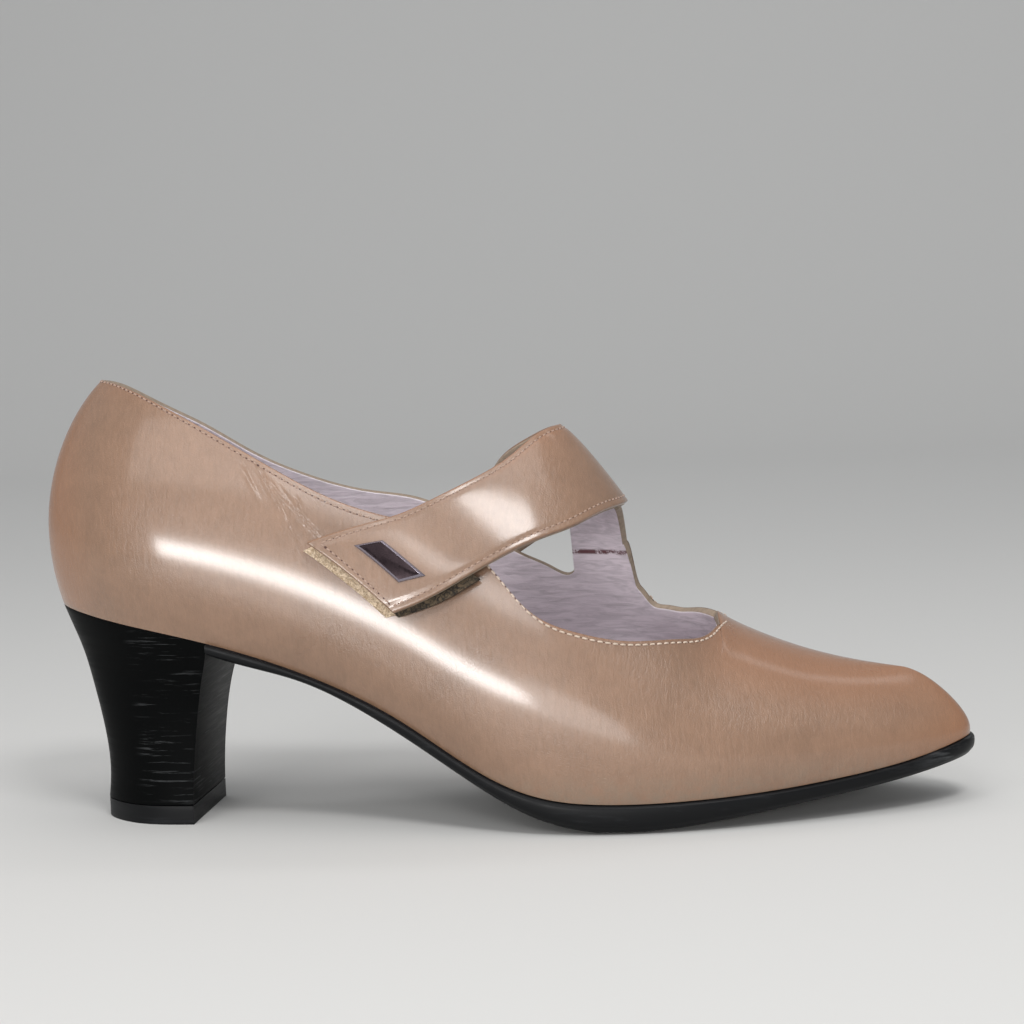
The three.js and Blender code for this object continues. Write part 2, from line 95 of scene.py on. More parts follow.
# Curves through the columns of short tables
class Curve:
    """A smooth cubic through values at places, level at both ends where asked."""

    def __init__(self, places, values, level=False):
        self.places = np.asarray(places, float)
        self.values = np.asarray(values, float)
        count = len(self.places)
        step = np.diff(self.places)
        slope = np.diff(self.values) / step
        matrix = np.eye(count)
        right = np.zeros(count)
        for i in range(1, count - 1):
            matrix[i, i - 1 : i + 2] = step[i - 1], 2 * (step[i - 1] + step[i]), step[i]
            right[i] = 6 * (slope[i] - slope[i - 1])
        if level:
            matrix[0, :2] = 2 * step[0], step[0]
            matrix[-1, -2:] = step[-1], 2 * step[-1]
            right[0] = 6 * slope[0]
            right[-1] = -6 * slope[-1]
        self.step = step
        self.slope = slope
        self.bend = np.linalg.solve(matrix, right)

    def __call__(self, place):
        x = np.clip(np.asarray(place, float), self.places[0], self.places[-1])
        i = np.clip(np.searchsorted(self.places, x) - 1, 0, len(self.step) - 1)
        d = x - self.places[i]
        low, high = self.bend[i], self.bend[i + 1]
        start = self.slope[i] - self.step[i] * (2 * low + high) / 6
        return self.values[i] + d * (start + d * (low / 2 + d * (high - low) / (6 * self.step[i])))


def read_table(columns, rows, place=lambda at: at, level=()):
    """One curve per named column, over the first column."""
    first, *others = zip(*rows)
    places = [float(place(at)) for at in first]
    names = columns.split()[1:]
    return {name: Curve(places, values, name in level) for name, values in zip(names, others)}


def fan_angle(at):
    return np.arccos(np.clip(1 - 2 * np.asarray(at, float), -1, 1))


LAST = read_table(
    "at lateral medial lateral_swell medial_swell swell_height side_full top_full",
    [
        (0.0, 0.0, 0.0, 1.12, 1.12, 0.31, 0.5, 0.52),
        (0.039, 0.202, 0.202, 1.13, 1.13, 0.31, 0.5, 0.52),
        (0.096, 0.301, 0.301, 1.15, 1.15, 0.27, 0.5, 0.5),
        (0.186, 0.332, 0.321, 1.17, 1.18, 0.22, 0.5, 0.46),
        (0.289, 0.338, 0.293, 1.18, 1.3, 0.18, 0.48, 0.42),
        (0.395, 0.385, 0.291, 1.14, 1.42, 0.16, 0.46, 0.36),
        (0.498, 0.469, 0.375, 1.07, 1.25, 0.16, 0.45, 0.31),
        (0.592, 0.508, 0.467, 1.04, 1.08, 0.17, 0.45, 0.3),
        (0.682, 0.487, 0.492, 1.04, 1.05, 0.19, 0.46, 0.36),
        (0.772, 0.416, 0.444, 1.04, 1.05, 0.22, 0.48, 0.48),
        (0.858, 0.316, 0.365, 1.03, 1.04, 0.22, 0.48, 0.5),
        (0.932, 0.207, 0.26, 1.02, 1.03, 0.18, 0.44, 0.47),
        (0.977, 0.112, 0.161, 1.01, 1.01, 0.12, 0.4, 0.46),
        (1.0, 0.0, 0.0, 1.0, 1.0, 0.08, 0.38, 0.46),
    ],
    fan_angle,
    ("lateral_swell", "medial_swell", "swell_height", "side_full", "top_full"),
)
FEATHER = read_table(
    "at heel_rise spring",
    [
        (0.0, 1.0, 0), (0.088, 0.922, 0), (0.186, 0.813, 0), (0.289, 0.648, 0), (0.342, 0.539, 0),
        (0.395, 0.406, 0), (0.448, 0.246, 0), (0.502, 0.102, 0), (0.547, 0.031, 0), (0.608, 0.0, 0),
        (0.69, 0.0, 0.005), (0.772, 0.0, 0.104), (0.866, 0.0, 0.333), (0.944, 0.0, 0.646),
        (1.0, 0.0, 1.0),
    ],
)
TREAD = read_table(
    "at breast_rise toe_rise",
    [
        (0.18, 1.0, 0), (0.211, 0.945, 0), (0.289, 0.824, 0), (0.358, 0.641, 0), (0.424, 0.426, 0),
        (0.481, 0.236, 0), (0.534, 0.088, 0), (0.584, 0.014, 0), (0.62, -0.006, 0),
        (0.66, 0.0, 0.01), (0.69, 0.0, 0.06), (0.75, 0.0, 0.21), (0.813, 0.0, 0.39),
        (0.92, 0.0, 0.7), (1.0, 0.0, 1.0),
    ],
)
RIDGE = read_table(
    "at height",
    [
        (0.0, 0.955), (0.055, 0.965), (0.129, 0.984), (0.252, 0.998), (0.375, 0.948),
        (0.498, 0.856), (0.567, 0.777), (0.636, 0.612), (0.682, 0.506), (0.711, 0.436),
        (0.738, 0.392), (0.764, 0.365), (0.793, 0.341), (0.825, 0.319), (0.875, 0.294),
        (0.92, 0.279), (0.957, 0.268), (1.0, 0.252),
    ],
)
THROAT_END = 0.743


def throat_place(at):
    """The edges' tables run over the root of the way to the throat's point, where both sides meet."""
    return -np.sqrt(np.maximum(0, THROAT_END - np.asarray(at, float)))


COLLAR_LATERAL = read_table(
    "at girth",
    [
        (0.03, -0.25), (0.058, -0.262), (0.087, -0.316), (0.147, -0.452), (0.189, -0.527),
        (0.272, -0.627), (0.342, -0.66), (0.388, -0.652), (0.43, -0.634), (0.466, -0.63),
        (0.495, -0.655), (0.53, -0.703), (0.582, -0.708), (0.642, -0.639), (0.674, -0.568),
        (0.704, -0.457), (0.726, -0.3), (0.7345, -0.165), (THROAT_END, 0.0),
    ],
    throat_place,
)
COLLAR_MEDIAL = read_table(
    "at girth",
    [
        (0.03, 0.25), (0.058, 0.262), (0.085, 0.363), (0.14, 0.512), (0.197, 0.613), (0.254, 0.661),
        (0.336, 0.665), (0.39, 0.64), (0.44, 0.642), (0.483, 0.66), (0.51, 0.668), (0.54, 0.672),
        (0.556, 0.673), (0.5665, 0.655), (0.575, 0.62), (0.6, 0.585), (0.622, 0.5), (0.6345, 0.4),
        (0.638, 0.49), (0.645, 0.545), (0.655, 0.566), (0.672, 0.54), (0.692, 0.467), (0.713, 0.31),
        (0.73, 0.16), (THROAT_END, 0.0),
    ],
    throat_place,
)
EAR_BACK = 0.5675
EAR_FRONT = 0.6345


def along_foot(at):
    return TOE_X - (1 - np.asarray(at, float)) * FOOT_LENGTH


def share_of(x):
    return 1 - (TOE_X - np.asarray(x, float)) / FOOT_LENGTH


def edge_girth(at, side):
    """The girth of the opening's edge on one side, at shares of the foot's length."""
    edge = COLLAR_LATERAL if side < 0 else COLLAR_MEDIAL
    return edge["girth"](throat_place(at))


def feather_height(x):
    at = share_of(x)
    rise = (HEEL_HEIGHT - SOLE_HEIGHT) * FEATHER["heel_rise"](at)
    return SOLE_HEIGHT + rise + TOE_SPRING * FEATHER["spring"](at)


def ridge_height(x):
    return INSTEP_HEIGHT * RIDGE["height"](share_of(x))


TREAD_START = 0.18
BREAST_TREAD = feather_height(along_foot(TREAD_START)) - WAIST_THICKNESS


def tread_height(x):
    at = share_of(x)
    return np.maximum(0, BREAST_TREAD * TREAD["breast_rise"](at) + TOE_TREAD * TREAD["toe_rise"](at))


def feather_x(angle):
    return along_foot((1 - np.cos(angle)) / 2)


def feather_y(angle, side):
    return side * BALL_WIDTH * np.where(side < 0, LAST["lateral"](angle), LAST["medial"](angle))


def spine_x(angle):
    back = ((1 + np.cos(angle)) / 2) ** LEAN_POWER
    toe = ((1 - np.cos(angle)) / 2) ** LEAN_POWER
    return feather_x(angle) + BACK_LEAN * back - TOE_LEAN * toe


def bezier(a, b, c, d, t):
    return (1 - t) ** 3 * a + 3 * (1 - t) ** 2 * t * b + 3 * (1 - t) * t * t * c + t**3 * d


SWELL_PLACE = 0.36
SWELL_EASE = 0.62
SWELL_START = 0.3
SWELL_MIDDLE = 0.64


def rib_shares(angle, side, climb):
    """Width and height of a rib's point as shares, from the feather line (0) to the ridge (1)."""
    swell = np.where(side < 0, LAST["lateral_swell"](angle), LAST["medial_swell"](angle))
    height = LAST["swell_height"](angle)
    low = np.clip(climb / SWELL_PLACE, 0, 1)
    high = np.clip((climb - SWELL_PLACE) / (1 - SWELL_PLACE), 0, 1)
    low_width = bezier(1, 1 + (swell - 1) * SWELL_EASE, swell, swell, low)
    low_height = bezier(0, SWELL_START * height, SWELL_MIDDLE * height, height, low)
    high_width = bezier(swell, swell, swell * LAST["top_full"](angle), 0, high)
    high_height = bezier(height, height + (1 - height) * LAST["side_full"](angle), 1, 1, high)
    below = climb < SWELL_PLACE
    return np.where(below, low_width, high_width), np.where(below, low_height, high_height)


def last_point(angle, side, climb):
    width, height = rib_shares(angle, side, climb)
    x = spine_x(angle) + (feather_x(angle) - spine_x(angle)) * width
    base = feather_height(feather_x(angle))
    y = MIDDLE_Y + feather_y(angle, side) * width
    return np.stack(np.broadcast_arrays(x, y, base + (ridge_height(x) - base) * height), -1)


NUDGE = 0.004
END_ANGLE = 0.03


def last_normal(angle, side, climb):
    angle, side, climb = np.broadcast_arrays(*(np.asarray(v, float) for v in (angle, side, climb)))
    safe = np.clip(angle, END_ANGLE, np.pi - END_ANGLE)
    along = last_point(safe + NUDGE, side, climb) - last_point(safe - NUDGE, side, climb)
    low = np.maximum(0, climb - NUDGE)
    high = np.minimum(1, climb + NUDGE)
    up = last_point(safe, side, high) - last_point(safe, side, low)
    normal = np.cross(along, up) * np.where(side < 0, 1, -1)[..., None]
    middle = (climb >= 1) | (angle <= 0) | (angle >= np.pi)
    normal[..., 1] = np.where(middle, 0, normal[..., 1])
    return normal / np.linalg.norm(normal, axis=-1, keepdims=True)


HALVINGS = 22


def close_in(low, high, is_before):
    """Halves the way between two arrays down to the place where a test stops holding."""
    for _ in range(HALVINGS):
        middle = (low + high) / 2
        before = is_before(middle)
        low = np.where(before, middle, low)
        high = np.where(before, high, middle)
    return (low + high) / 2


def climb_at(angle, side, height):
    def is_lower(climb):
        return rib_shares(angle, side, climb)[1] < height

    return close_in(np.zeros(np.shape(angle)), np.ones(np.shape(angle)), is_lower)


def surface_at(at, girth):
    """Points and normals on the last, at a share of the foot's length and a girth.

    The girth is 0 on the ridge, and -1 or 1 on the lateral or medial feather line.
    """
    x, girth = np.broadcast_arrays(along_foot(at), np.asarray(girth, float))
    side = np.where(girth < 0, -1.0, 1.0)
    height = 1 - np.minimum(1, np.abs(girth)) ** 2

    def is_behind(angle):
        return last_point(angle, side, climb_at(angle, side, height))[..., 0] < x

    angle = close_in(np.zeros(x.shape), np.full(x.shape, np.pi), is_behind)
    climb = climb_at(angle, side, height)
    return last_point(angle, side, climb), last_normal(angle, side, climb)


def place_on_last(at, girth, lift):
    points, normals = surface_at(at, girth)
    return points + normals * np.asarray(lift)[..., None]


# Mesh helpers
def deselect_all():
    bpy.ops.object.select_all(action="DESELECT")


def make_active(piece):
    deselect_all()
    piece.select_set(True)
    bpy.context.view_layer.objects.active = piece


def mesh_object(name, points, faces):
    mesh = bpy.data.meshes.new(name)
    mesh.from_pydata([tuple(p) for p in points], [], [tuple(f) for f in faces])
    mesh.validate()
    piece = bpy.data.objects.new(name, mesh)
    bpy.context.scene.collection.objects.link(piece)
    return piece


def weld(piece, distance=1e-6):
    """Merges doubles and turns every face outwards."""
    make_active(piece)
    bpy.ops.object.mode_set(mode="EDIT")
    bpy.ops.mesh.select_all(action="SELECT")
    bpy.ops.mesh.remove_doubles(threshold=distance)
    bpy.ops.mesh.dissolve_degenerate(threshold=distance)
    bpy.ops.mesh.normals_make_consistent(inside=False)
    bpy.ops.object.mode_set(mode="OBJECT")


def grid_faces(rows, columns, start=0, wrap=False):
    """Quads over a grid of points that is stored row by row."""
    faces = []
    last = columns if wrap else columns - 1
    for i in range(rows - 1):
        for j in range(last):
            k = (j + 1) % columns
            a = start + i * columns
            faces.append((a + j, a + k, a + columns + k, a + columns + j))
    return faces


def ring_solid(name, rings):
    """A closed piece from rings whose two halves mirror each other, so that its ends close in strips."""
    rings = np.asarray(rings)
    count, size = rings.shape[:2]
    faces = grid_faces(count, size, wrap=True)
    for ring, flip in ((0, True), (count - 1, False)):
        start = ring * size
        for j in range(size // 2 - 1):
            quad = (start + j, start + j + 1, start + size - 2 - j, start + size - 1 - j)
            faces.append(quad[::-1] if flip else quad)
    piece = mesh_object(name, rings.reshape(-1, 3), faces)
    weld(piece)
    return piece


def apply_modifier(piece, kind, **settings):
    make_active(piece)
    modifier = piece.modifiers.new(kind.title(), kind)
    for key, value in settings.items():
        setattr(modifier, key, value)
    bpy.ops.object.modifier_apply(modifier=modifier.name)


def smooth(piece, degrees=40):
    make_active(piece)
    bpy.ops.object.shade_smooth_by_angle(angle=math.radians(degrees))


def bevel_corners(piece, width, segments, degrees):
    apply_modifier(
        piece,
        "BEVEL",
        width=width,
        segments=segments,
        limit_method="ANGLE",
        angle_limit=math.radians(degrees),
    )


def read_values(items, name, width=1, kind=float):
    """One property of all the items of a mesh, in rows where it is wider than one value."""
    values = np.empty(len(items) * width, kind)
    items.foreach_get(name, values)
    return values.reshape(-1, width) if width > 1 else values


def store_values(mesh, name, domain, values):
    mesh.attributes.new(name, "FLOAT", domain).data.foreach_set("value", values)


def finish_piece(piece, slot, *nodes):
    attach(piece, "root")
    if nodes:
        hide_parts(*nodes)


# Creases on the quarter beside the strap's end: two ends on the last, width, depth and bow
CREASES = (
    ((0.245, -0.618), (0.299, -0.790), 0.40 * MM, 0.30 * MM, 0.0),
    ((0.260, -0.655), (0.321, -0.752), 0.38 * MM, 0.32 * MM, 0.006),
    ((0.271, -0.665), (0.3235, -0.757), 0.36 * MM, 0.26 * MM, 0.004),
    ((0.290, -0.683), (0.295, -0.705), 0.36 * MM, 0.2 * MM, 0.0),
    ((0.228, -0.600), (0.252, -0.700), 0.50 * MM, 0.12 * MM, 0.002),
)
CREASE_POINTS = 24
CREASE_REACH = 0.03
CREASE_TIP = 0.02
CREASE_FADE = 0.5
TROUGH_PLACE = 1.6
TROUGH_DEPTH = 0.6


def crease_lift(points):
    """Low ridges with a trough beside each, along the creases' lines."""
    lift = np.zeros(len(points))
    share = np.linspace(0, 1, CREASE_POINTS)
    for (at_a, girth_a), (at_b, girth_b), width, depth, bow in CREASES:
        at = at_a + (at_b - at_a) * share - bow * np.sin(share * np.pi)
        line, _ = surface_at(at, girth_a + (girth_b - girth_a) * share)
        near = np.where(np.linalg.norm(points - line.mean(0), axis=1) < CREASE_REACH)[0]
        offsets = points[near][:, None] - line[None]
        distance = np.linalg.norm(offsets, axis=2)
        closest = distance.argmin(1)
        rows = np.arange(len(near))
        across = offsets[rows, closest]
        signed = distance[rows, closest] * np.sign(across[:, 0] + across[:, 2])
        way = np.clip(closest / (CREASE_POINTS - 1), CREASE_TIP, 1 - CREASE_TIP)
        ridge = np.exp(-((signed / width) ** 2))
        trough = np.exp(-(((signed - TROUGH_PLACE * width) / width) ** 2))
        lift[near] += np.sin(way * np.pi) ** CREASE_FADE * depth * (ridge - TROUGH_DEPTH * trough)
    return lift


# The upper: its rows up each rib, and its ribs as the end of each span along the foot with a count
FIXED_ROWS = 14
EDGE_ROWS = 48
ROW_CROWDING = 0.6
EAR_ROWS = 26
EAR_TOP = 0.9995
RIB_START = 0.235
BACK_RIBS = 60
RIB_SPANS = ((0.33, 56), (0.545, 60), (EAR_BACK, 16), (EAR_FRONT, 22), (0.66, 20), (0.70, 14))
POINT_RIBS = 11
POINT_CROWDING = 1.5
VAMP_RIBS = 80
SAME_ANGLE = 1e-9
UPPER_WALL = 2.2 * MM
UPPER_BEVEL = 0.55 * MM
UPPER_WELD = 2e-5


def edge_climb(angles, side):
    """Where each rib meets the opening's edge."""

    def is_below(climb):
        at = share_of(last_point(angles, side, climb)[:, 0])
        girth = np.sqrt(np.clip(1 - rib_shares(angles, side, climb)[1], 0, 1))
        return girth > np.abs(edge_girth(at, side))

    return close_in(np.zeros(len(angles)), np.ones(len(angles)), is_below)


def rib_angles():
    """Ribs from the back seam to the toe, closer together at the creases, the ear and the throat's point."""
    spans = []
    start = RIB_START
    for end, count in RIB_SPANS:
        spans.append(np.linspace(start, end, count)[1:])
        start = end
    crowded = np.linspace(1, 0, POINT_RIBS)[1:] ** POINT_CROWDING
    to_point = THROAT_END - (THROAT_END - start) * crowded
    back = np.linspace(0, fan_angle(RIB_START), BACK_RIBS)
    throat = np.concatenate([back, fan_angle(np.concatenate(spans)), fan_angle(to_point)])
    vamp = np.linspace(fan_angle(THROAT_END), np.pi, VAMP_RIBS)[1:]
    return np.concatenate([throat, vamp]), len(throat)


def build_upper_skin():
    """The outer face of the upper: both sides from the feather line to the edge, and the ear."""
    angles, throat_count = rib_angles()
    low_rows = np.linspace(0, SWELL_PLACE, FIXED_ROWS)
    high_rows = np.linspace(0, 1, EDGE_ROWS)[1:]
    high_rows = high_rows + ROW_CROWDING * (1 - high_rows) * high_rows
    points = []
    faces = []
    start = 0
    for side in (-1.0, 1.0):
        top = np.ones(len(angles))
        top[: throat_count - 1] = edge_climb(angles[: throat_count - 1], side)
        low = np.broadcast_to(low_rows, (len(angles), FIXED_ROWS))
        high = SWELL_PLACE + (top[:, None] - SWELL_PLACE) * high_rows[None]
        climbs = np.concatenate([low, high], axis=1)
        ribs = np.broadcast_to(angles[:, None], climbs.shape)
        skin = last_point(ribs, side, climbs).reshape(-1, 3)
        if side < 0:
            normals = last_normal(ribs, side, climbs).reshape(-1, 3)
            skin = skin + normals * crease_lift(skin)[:, None]
        points.append(skin)
        quads = grid_faces(*climbs.shape, start)
        faces += quads if side > 0 else [q[::-1] for q in quads]
        start += len(skin)
    first, last = (
        int(np.searchsorted(angles, fan_angle(place) - SAME_ANGLE)) for place in (EAR_BACK, EAR_FRONT)
    )
    ear_top = top[first : last + 1, None]
    ear_climb = ear_top + (1 - ear_top) * np.linspace(0, 1, EAR_ROWS)
    ear = np.broadcast_to(angles[first : last + 1, None], ear_climb.shape)
    points.append(last_point(ear, side, np.minimum(ear_climb, EAR_TOP)).reshape(-1, 3))
    faces += grid_faces(*ear.shape, start)
    return np.concatenate(points), faces


# Painted warm reflection on the leather: how far its face turns to the top, the back or the toe, and where
# along the foot
WARM_TOP = (0.5, 0.97)
WARM_TOP_SHARE = 0.85
WARM_BACK = (0.45, 0.95)
WARM_BACK_PLACE = (0.3, 0.15)
WARM_TOE = (0.3, 0.9)
WARM_TOE_PLACE = (0.75, 0.9)


def smooth_step(low, high, value):
    share = np.clip((value - low) / (high - low), 0, 1)
    return share * share * (3 - 2 * share)


def mark_warm_reflection(piece):
    """Stores where a warm reflection is painted on the leather: towards the back seam, the toe and the top of
    the instep.
    """
    at = share_of(read_values(piece.data.vertices, "co", 3)[:, 0])
    ahead, _, upward = read_values(piece.data.vertices, "normal", 3).T
    top = smooth_step(*WARM_TOP, upward) * WARM_TOP_SHARE
    back = smooth_step(*WARM_BACK, -ahead) * smooth_step(*WARM_BACK_PLACE, at)
    toe = smooth_step(*WARM_TOE, ahead) * smooth_step(*WARM_TOE_PLACE, at)
    store_values(piece.data, "warm_reflection", "POINT", np.clip(top + back + toe, 0, 1))


RIM_SLOT = 2
RIM_RISE = 15 * MM
POINT_FADE = 7 * MM


def weigh_rim(mesh):
    """Marks for the bevel the edges where the opening's rim meets the two faces of the upper."""
    slots = read_values(mesh.polygons, "material_index", kind=int)
    corner_counts = read_values(mesh.polygons, "loop_total", kind=int)
    corner_edges = read_values(mesh.loops, "edge_index", kind=int)
    on_rim = np.repeat(slots, corner_counts) == RIM_SLOT
    beside_rim = np.zeros(len(mesh.edges), bool)
    beside_face = np.zeros(len(mesh.edges), bool)
    beside_rim[corner_edges[on_rim]] = True
    beside_face[corner_edges[~on_rim]] = True
    starts = read_values(mesh.edges, "vertices", 2, int)[:, 0]
    x, y, z = read_values(mesh.vertices, "co", 3)[starts].T
    above = z > feather_height(x) + RIM_RISE
    to_point = np.hypot(x - along_foot(THROAT_END), y - MIDDLE_Y)
    weight = np.where(beside_rim & beside_face & above, np.clip(to_point / POINT_FADE, 0, 1), 0)
    store_values(mesh, "bevel_weight_edge", "EDGE", weight)


# Sole and heel
SOLE_EDGE = read_table(
    "step outward inward drop",
    [
        (0, 0.3, 0, 0),
        (1, 0.8, 0, 0.07),
        (2, 1, 0, 0.22),
        (3, 0.95, 0, 0.45),
        (4, 0.6, 0, 0.66),
        (5, 0, 0.02, 0.81),
        (6, 0, 0.14, 0.91),
        (7, 0, 0.4, 0.965),
        (8, 0, 1, 1),
    ],
)
SOLE_LAST_STEP = 8
SOLE_RINGS = 260
SOLE_POINTS = 33
BREAST_PLACE = 0.184
SEAT_LENGTH = BREAST_PLACE * FOOT_LENGTH
HEEL_POINTS = 56
HEEL_RINGS = 44
TOP_PIECE_RINGS = 4
HEEL_FORM = read_table(
    "height back breast width",
    [
        (0, 0.222, 0.84, 0.73),
        (0.1, 0.234, 0.845, 0.72),
        (0.35, 0.216, 0.868, 0.71),
        (0.6, 0.158, 0.905, 0.74),
        (0.8, 0.096, 0.952, 0.84),
        (0.92, 0.04, 0.985, 0.93),
        (1, 0.002, 0.995, 0.985),
    ],
)


def feather_offset(angle, side, reach):
    """Places on the feather line, moved outward in plan."""
    safe = np.clip(angle, END_ANGLE, np.pi - END_ANGLE)
    along_x = feather_x(safe + NUDGE) - feather_x(safe - NUDGE)
    along_y = feather_y(safe + NUDGE, side) - feather_y(safe - NUDGE, side)
    size = np.hypot(along_x, along_y)
    end = (angle <= 0) | (angle >= np.pi)
    out_x = np.where(end, -np.cos(angle), -along_y * side / size)
    out_y = np.where(end, 0, along_x * side / size)
    return feather_x(angle) + out_x * reach, MIDDLE_Y + feather_y(angle, side) + out_y * reach


def build_outsole():
    stations = np.linspace(fan_angle(BREAST_PLACE), np.pi, SOLE_RINGS)[:, None]
    steps = np.linspace(0, SOLE_LAST_STEP, SOLE_POINTS)
    outward = np.concatenate([[0], np.maximum(0, SOLE_EDGE["outward"](steps))])
    inward = np.concatenate([[1], np.clip(SOLE_EDGE["inward"](steps), 0, 1)])
    drop = np.concatenate([[0], np.clip(SOLE_EDGE["drop"](steps), 0, 1)])
    halves = []
    for side in (-1.0, 1.0):
        offset_x, y = feather_offset(stations, side, EDGE_REACH * outward - EDGE_ROUNDING * inward)
        x = np.maximum(along_foot(BREAST_PLACE), offset_x)
        top = feather_height(x) - GAP
        halves.append(np.stack(np.broadcast_arrays(x, y, top - (top - tread_height(x)) * drop), -1))
    return ring_solid("sole_unit", np.concatenate([halves[0], halves[1][:, ::-1]], axis=1))


def heel_ring(height):
    """One level of the heel in plan: x and y from the lateral breast corner round the back."""
    along_seat = 1 - np.cos(np.linspace(0, np.pi / 2, HEEL_POINTS))
    angles = fan_angle(share_of(along_foot(0) + SEAT_LENGTH * along_seat))
    back = HEEL_FORM["back"](height)
    x = along_foot(0) + SEAT_LENGTH * (back + (HEEL_FORM["breast"](height) - back) * along_seat)
    lateral, medial = (
        np.stack([x, MIDDLE_Y + feather_y(angles, side) * HEEL_FORM["width"](height)], -1)
        for side in (-1.0, 1.0)
    )
    return np.concatenate([lateral[::-1], medial])


def build_heel():
    base = TOP_PIECE_HEIGHT + GAP
    rings = []
    for height in np.linspace(0, 1, HEEL_RINGS):
        ring = heel_ring(height)
        z = base + (feather_height(ring[:, 0]) - GAP - base) * height
        rings.append(np.column_stack([ring, z]))
    return ring_solid("heel_block", rings)


def build_top_piece():
    ring = heel_ring(0)
    levels = np.linspace(0, TOP_PIECE_HEIGHT, TOP_PIECE_RINGS)
    return ring_solid("top_lift", [np.column_stack([ring, np.full(len(ring), z)]) for z in levels])


# Sheets on the last between two edges
STRAP_EDGES = read_table(
    "step back_at back_girth front_at front_girth lift",
    [
        (0, 0.305, -0.766, 0.399, -0.826, 3),
        (1, 0.378, -0.679, 0.442, -0.76, 3),
        (2, 0.427, -0.6, 0.498, -0.657, 2.5),
        (3, 0.492, -0.45, 0.551, -0.555, 1.3),
        (4, 0.528, -0.31, 0.59, -0.43, 0.6),
        (5, 0.552, -0.14, 0.62, -0.215, 0.4),
        (6, 0.559, 0, 0.63, 0, 0.4),
        (7, 0.552, 0.14, 0.62, 0.22, 0.4),
        (8, 0.525, 0.3, 0.588, 0.44, 0.4),
        (9, 0.49, 0.43, 0.55, 0.57, 0.4),
        (10, 0.462, 0.553, 0.5, 0.68, 0.4),
        (11, 0.42, 0.632, 0.452, 0.765, 0.4),
        (12, 0.36, 0.72, 0.41, 0.83, 0.4),
    ],
)
LOOP_EDGES = read_table(
    "step back_at back_girth front_at front_girth",
    [
        (0, 0.2995, -0.782, 0.3875, -0.842),
        (1, 0.345, -0.722, 0.415, -0.806),
        (2, 0.39, -0.672, 0.448, -0.758),
    ],
)
HOOK_EDGES = read_table(
    "step back_at back_girth front_at front_girth",
    [
        (0, 0.312, -0.757, 0.402, -0.83),
        (1, 0.358, -0.706, 0.446, -0.768),
        (2, 0.41, -0.663, 0.488, -0.692),
    ],
)
PLATE_EDGES = read_table(
    "step back_at back_girth front_at front_girth",
    [(0, 0.357, -0.741, 0.387, -0.71), (1, 0.405, -0.771, 0.433, -0.736)],
)
STRAP_STEPS = 12
STRAP_THICKNESS = 2.2 * MM
STRAP_BACKING = 0.85 * MM
STRAP_FULLNESS = 0.3 * MM
FULLNESS_REACH = 0.09
SEAM_DEPTH = 0.14 * MM
SEAM_WIDTH = 0.022
STITCH_INSET = 0.065
PATCH_STEPS = 2
LOOP_THICKNESS = 1.1 * MM
HOOK_THICKNESS = 0.95 * MM
PLATE_THICKNESS = 1.3 * MM
PLATE_RIM = 0.45 * PLATE_THICKNESS
PLATE_BEVEL = 0.11
PLATE_SLENDERNESS = 0.42
PLATE_POINTS = 10
PLATE_WELD = 1e-7


def strap_lift(step):
    return np.maximum(GAP, STRAP_EDGES["lift"](step) * MM)


def strap_top(step, across):
    """The strap's face, slightly full between its seams and drawn down along them."""
    edge = np.minimum(across, 1 - across)
    full = STRAP_FULLNESS * (1 - np.exp(-edge / FULLNESS_REACH))
    seam = SEAM_DEPTH * np.exp(-(((edge - STITCH_INSET) / SEAM_WIDTH) ** 2))
    return strap_lift(step) + STRAP_THICKNESS - STRAP_FULLNESS + full - seam


def sheet_grid(last_step, step_count, column_count):
    steps = np.linspace(0, last_step, step_count)
    return np.meshgrid(steps, np.linspace(0, 1, column_count), indexing="ij")


def sheet_point(edges, step, across, lift):
    step, across = np.broadcast_arrays(np.asarray(step, float), np.asarray(across, float))
    at = edges["back_at"](step) + (edges["front_at"](step) - edges["back_at"](step)) * across
    girth = edges["back_girth"](step) + (edges["front_girth"](step) - edges["back_girth"](step)) * across
    return place_on_last(at, girth, np.broadcast_to(lift, step.shape))


def sheet_solid(name, edges, grid, low, high):
    """A closed sheet with its lower and upper face at given lifts, each a number or one per grid point."""
    under = sheet_point(edges, *grid, low)
    over = sheet_point(edges, *grid, high)
    return ring_solid(name, np.concatenate([under, over[:, ::-1]], axis=1))


def plate_loop(inset, lift):
    """A loop of points round the plate, drawn in by a share of its length and width."""
    share = np.linspace(0, 1, PLATE_POINTS, endpoint=False)[:, None]
    start, end = inset * PLATE_SLENDERNESS, 1 - inset * PLATE_SLENDERNESS
    corners = np.array([(start, inset), (end, inset), (end, 1 - inset), (start, 1 - inset)])
    sides = [a + (b - a) * share for a, b in zip(corners, np.roll(corners, -1, axis=0))]
    return sheet_point(PLATE_EDGES, *np.concatenate(sides).T, lift)


# Materials
LOOP_COLORS = ((0.46, 0.33, 0.21), (0.96, 0.79, 0.6))
HOOK_COLORS = ((0.012, 0.01, 0.008), (0.14, 0.1, 0.06))
METAL_COLOR = (0.018, 0.012, 0.014)
# The plate's bevels in a light metal colour: a painted highlight
METAL_EDGE_HIGHLIGHT_COLOR = (0.32, 0.29, 0.34)
PORE_SHARE = 0.45
# Share of the painted warm reflection in the leather's colour
WARM_REFLECTION_SHARE = 0.85
DIRT_SHARE = 0.55
DIRT_TOP = 19 * MM
DIRT_FULL = 9 * MM
STAIN_LOW = 65.9 * MM
STAIN_HIGH = 66.5 * MM
STAIN_BACK = 0.565
STAIN_FRONT = 0.64
SCUFF_SHARE = 0.6
SCUFF_START = 0.93
SCUFF_FULL = 0.99
# Light lines on the heel near its breast: partly real scratches, partly painted sheen lines
SCRATCH_AND_SHEEN_SHARE = 0.35
SCRATCH_AND_SHEEN_BACK = 0.11
SCRATCH_AND_SHEEN_FRONT = 0.158


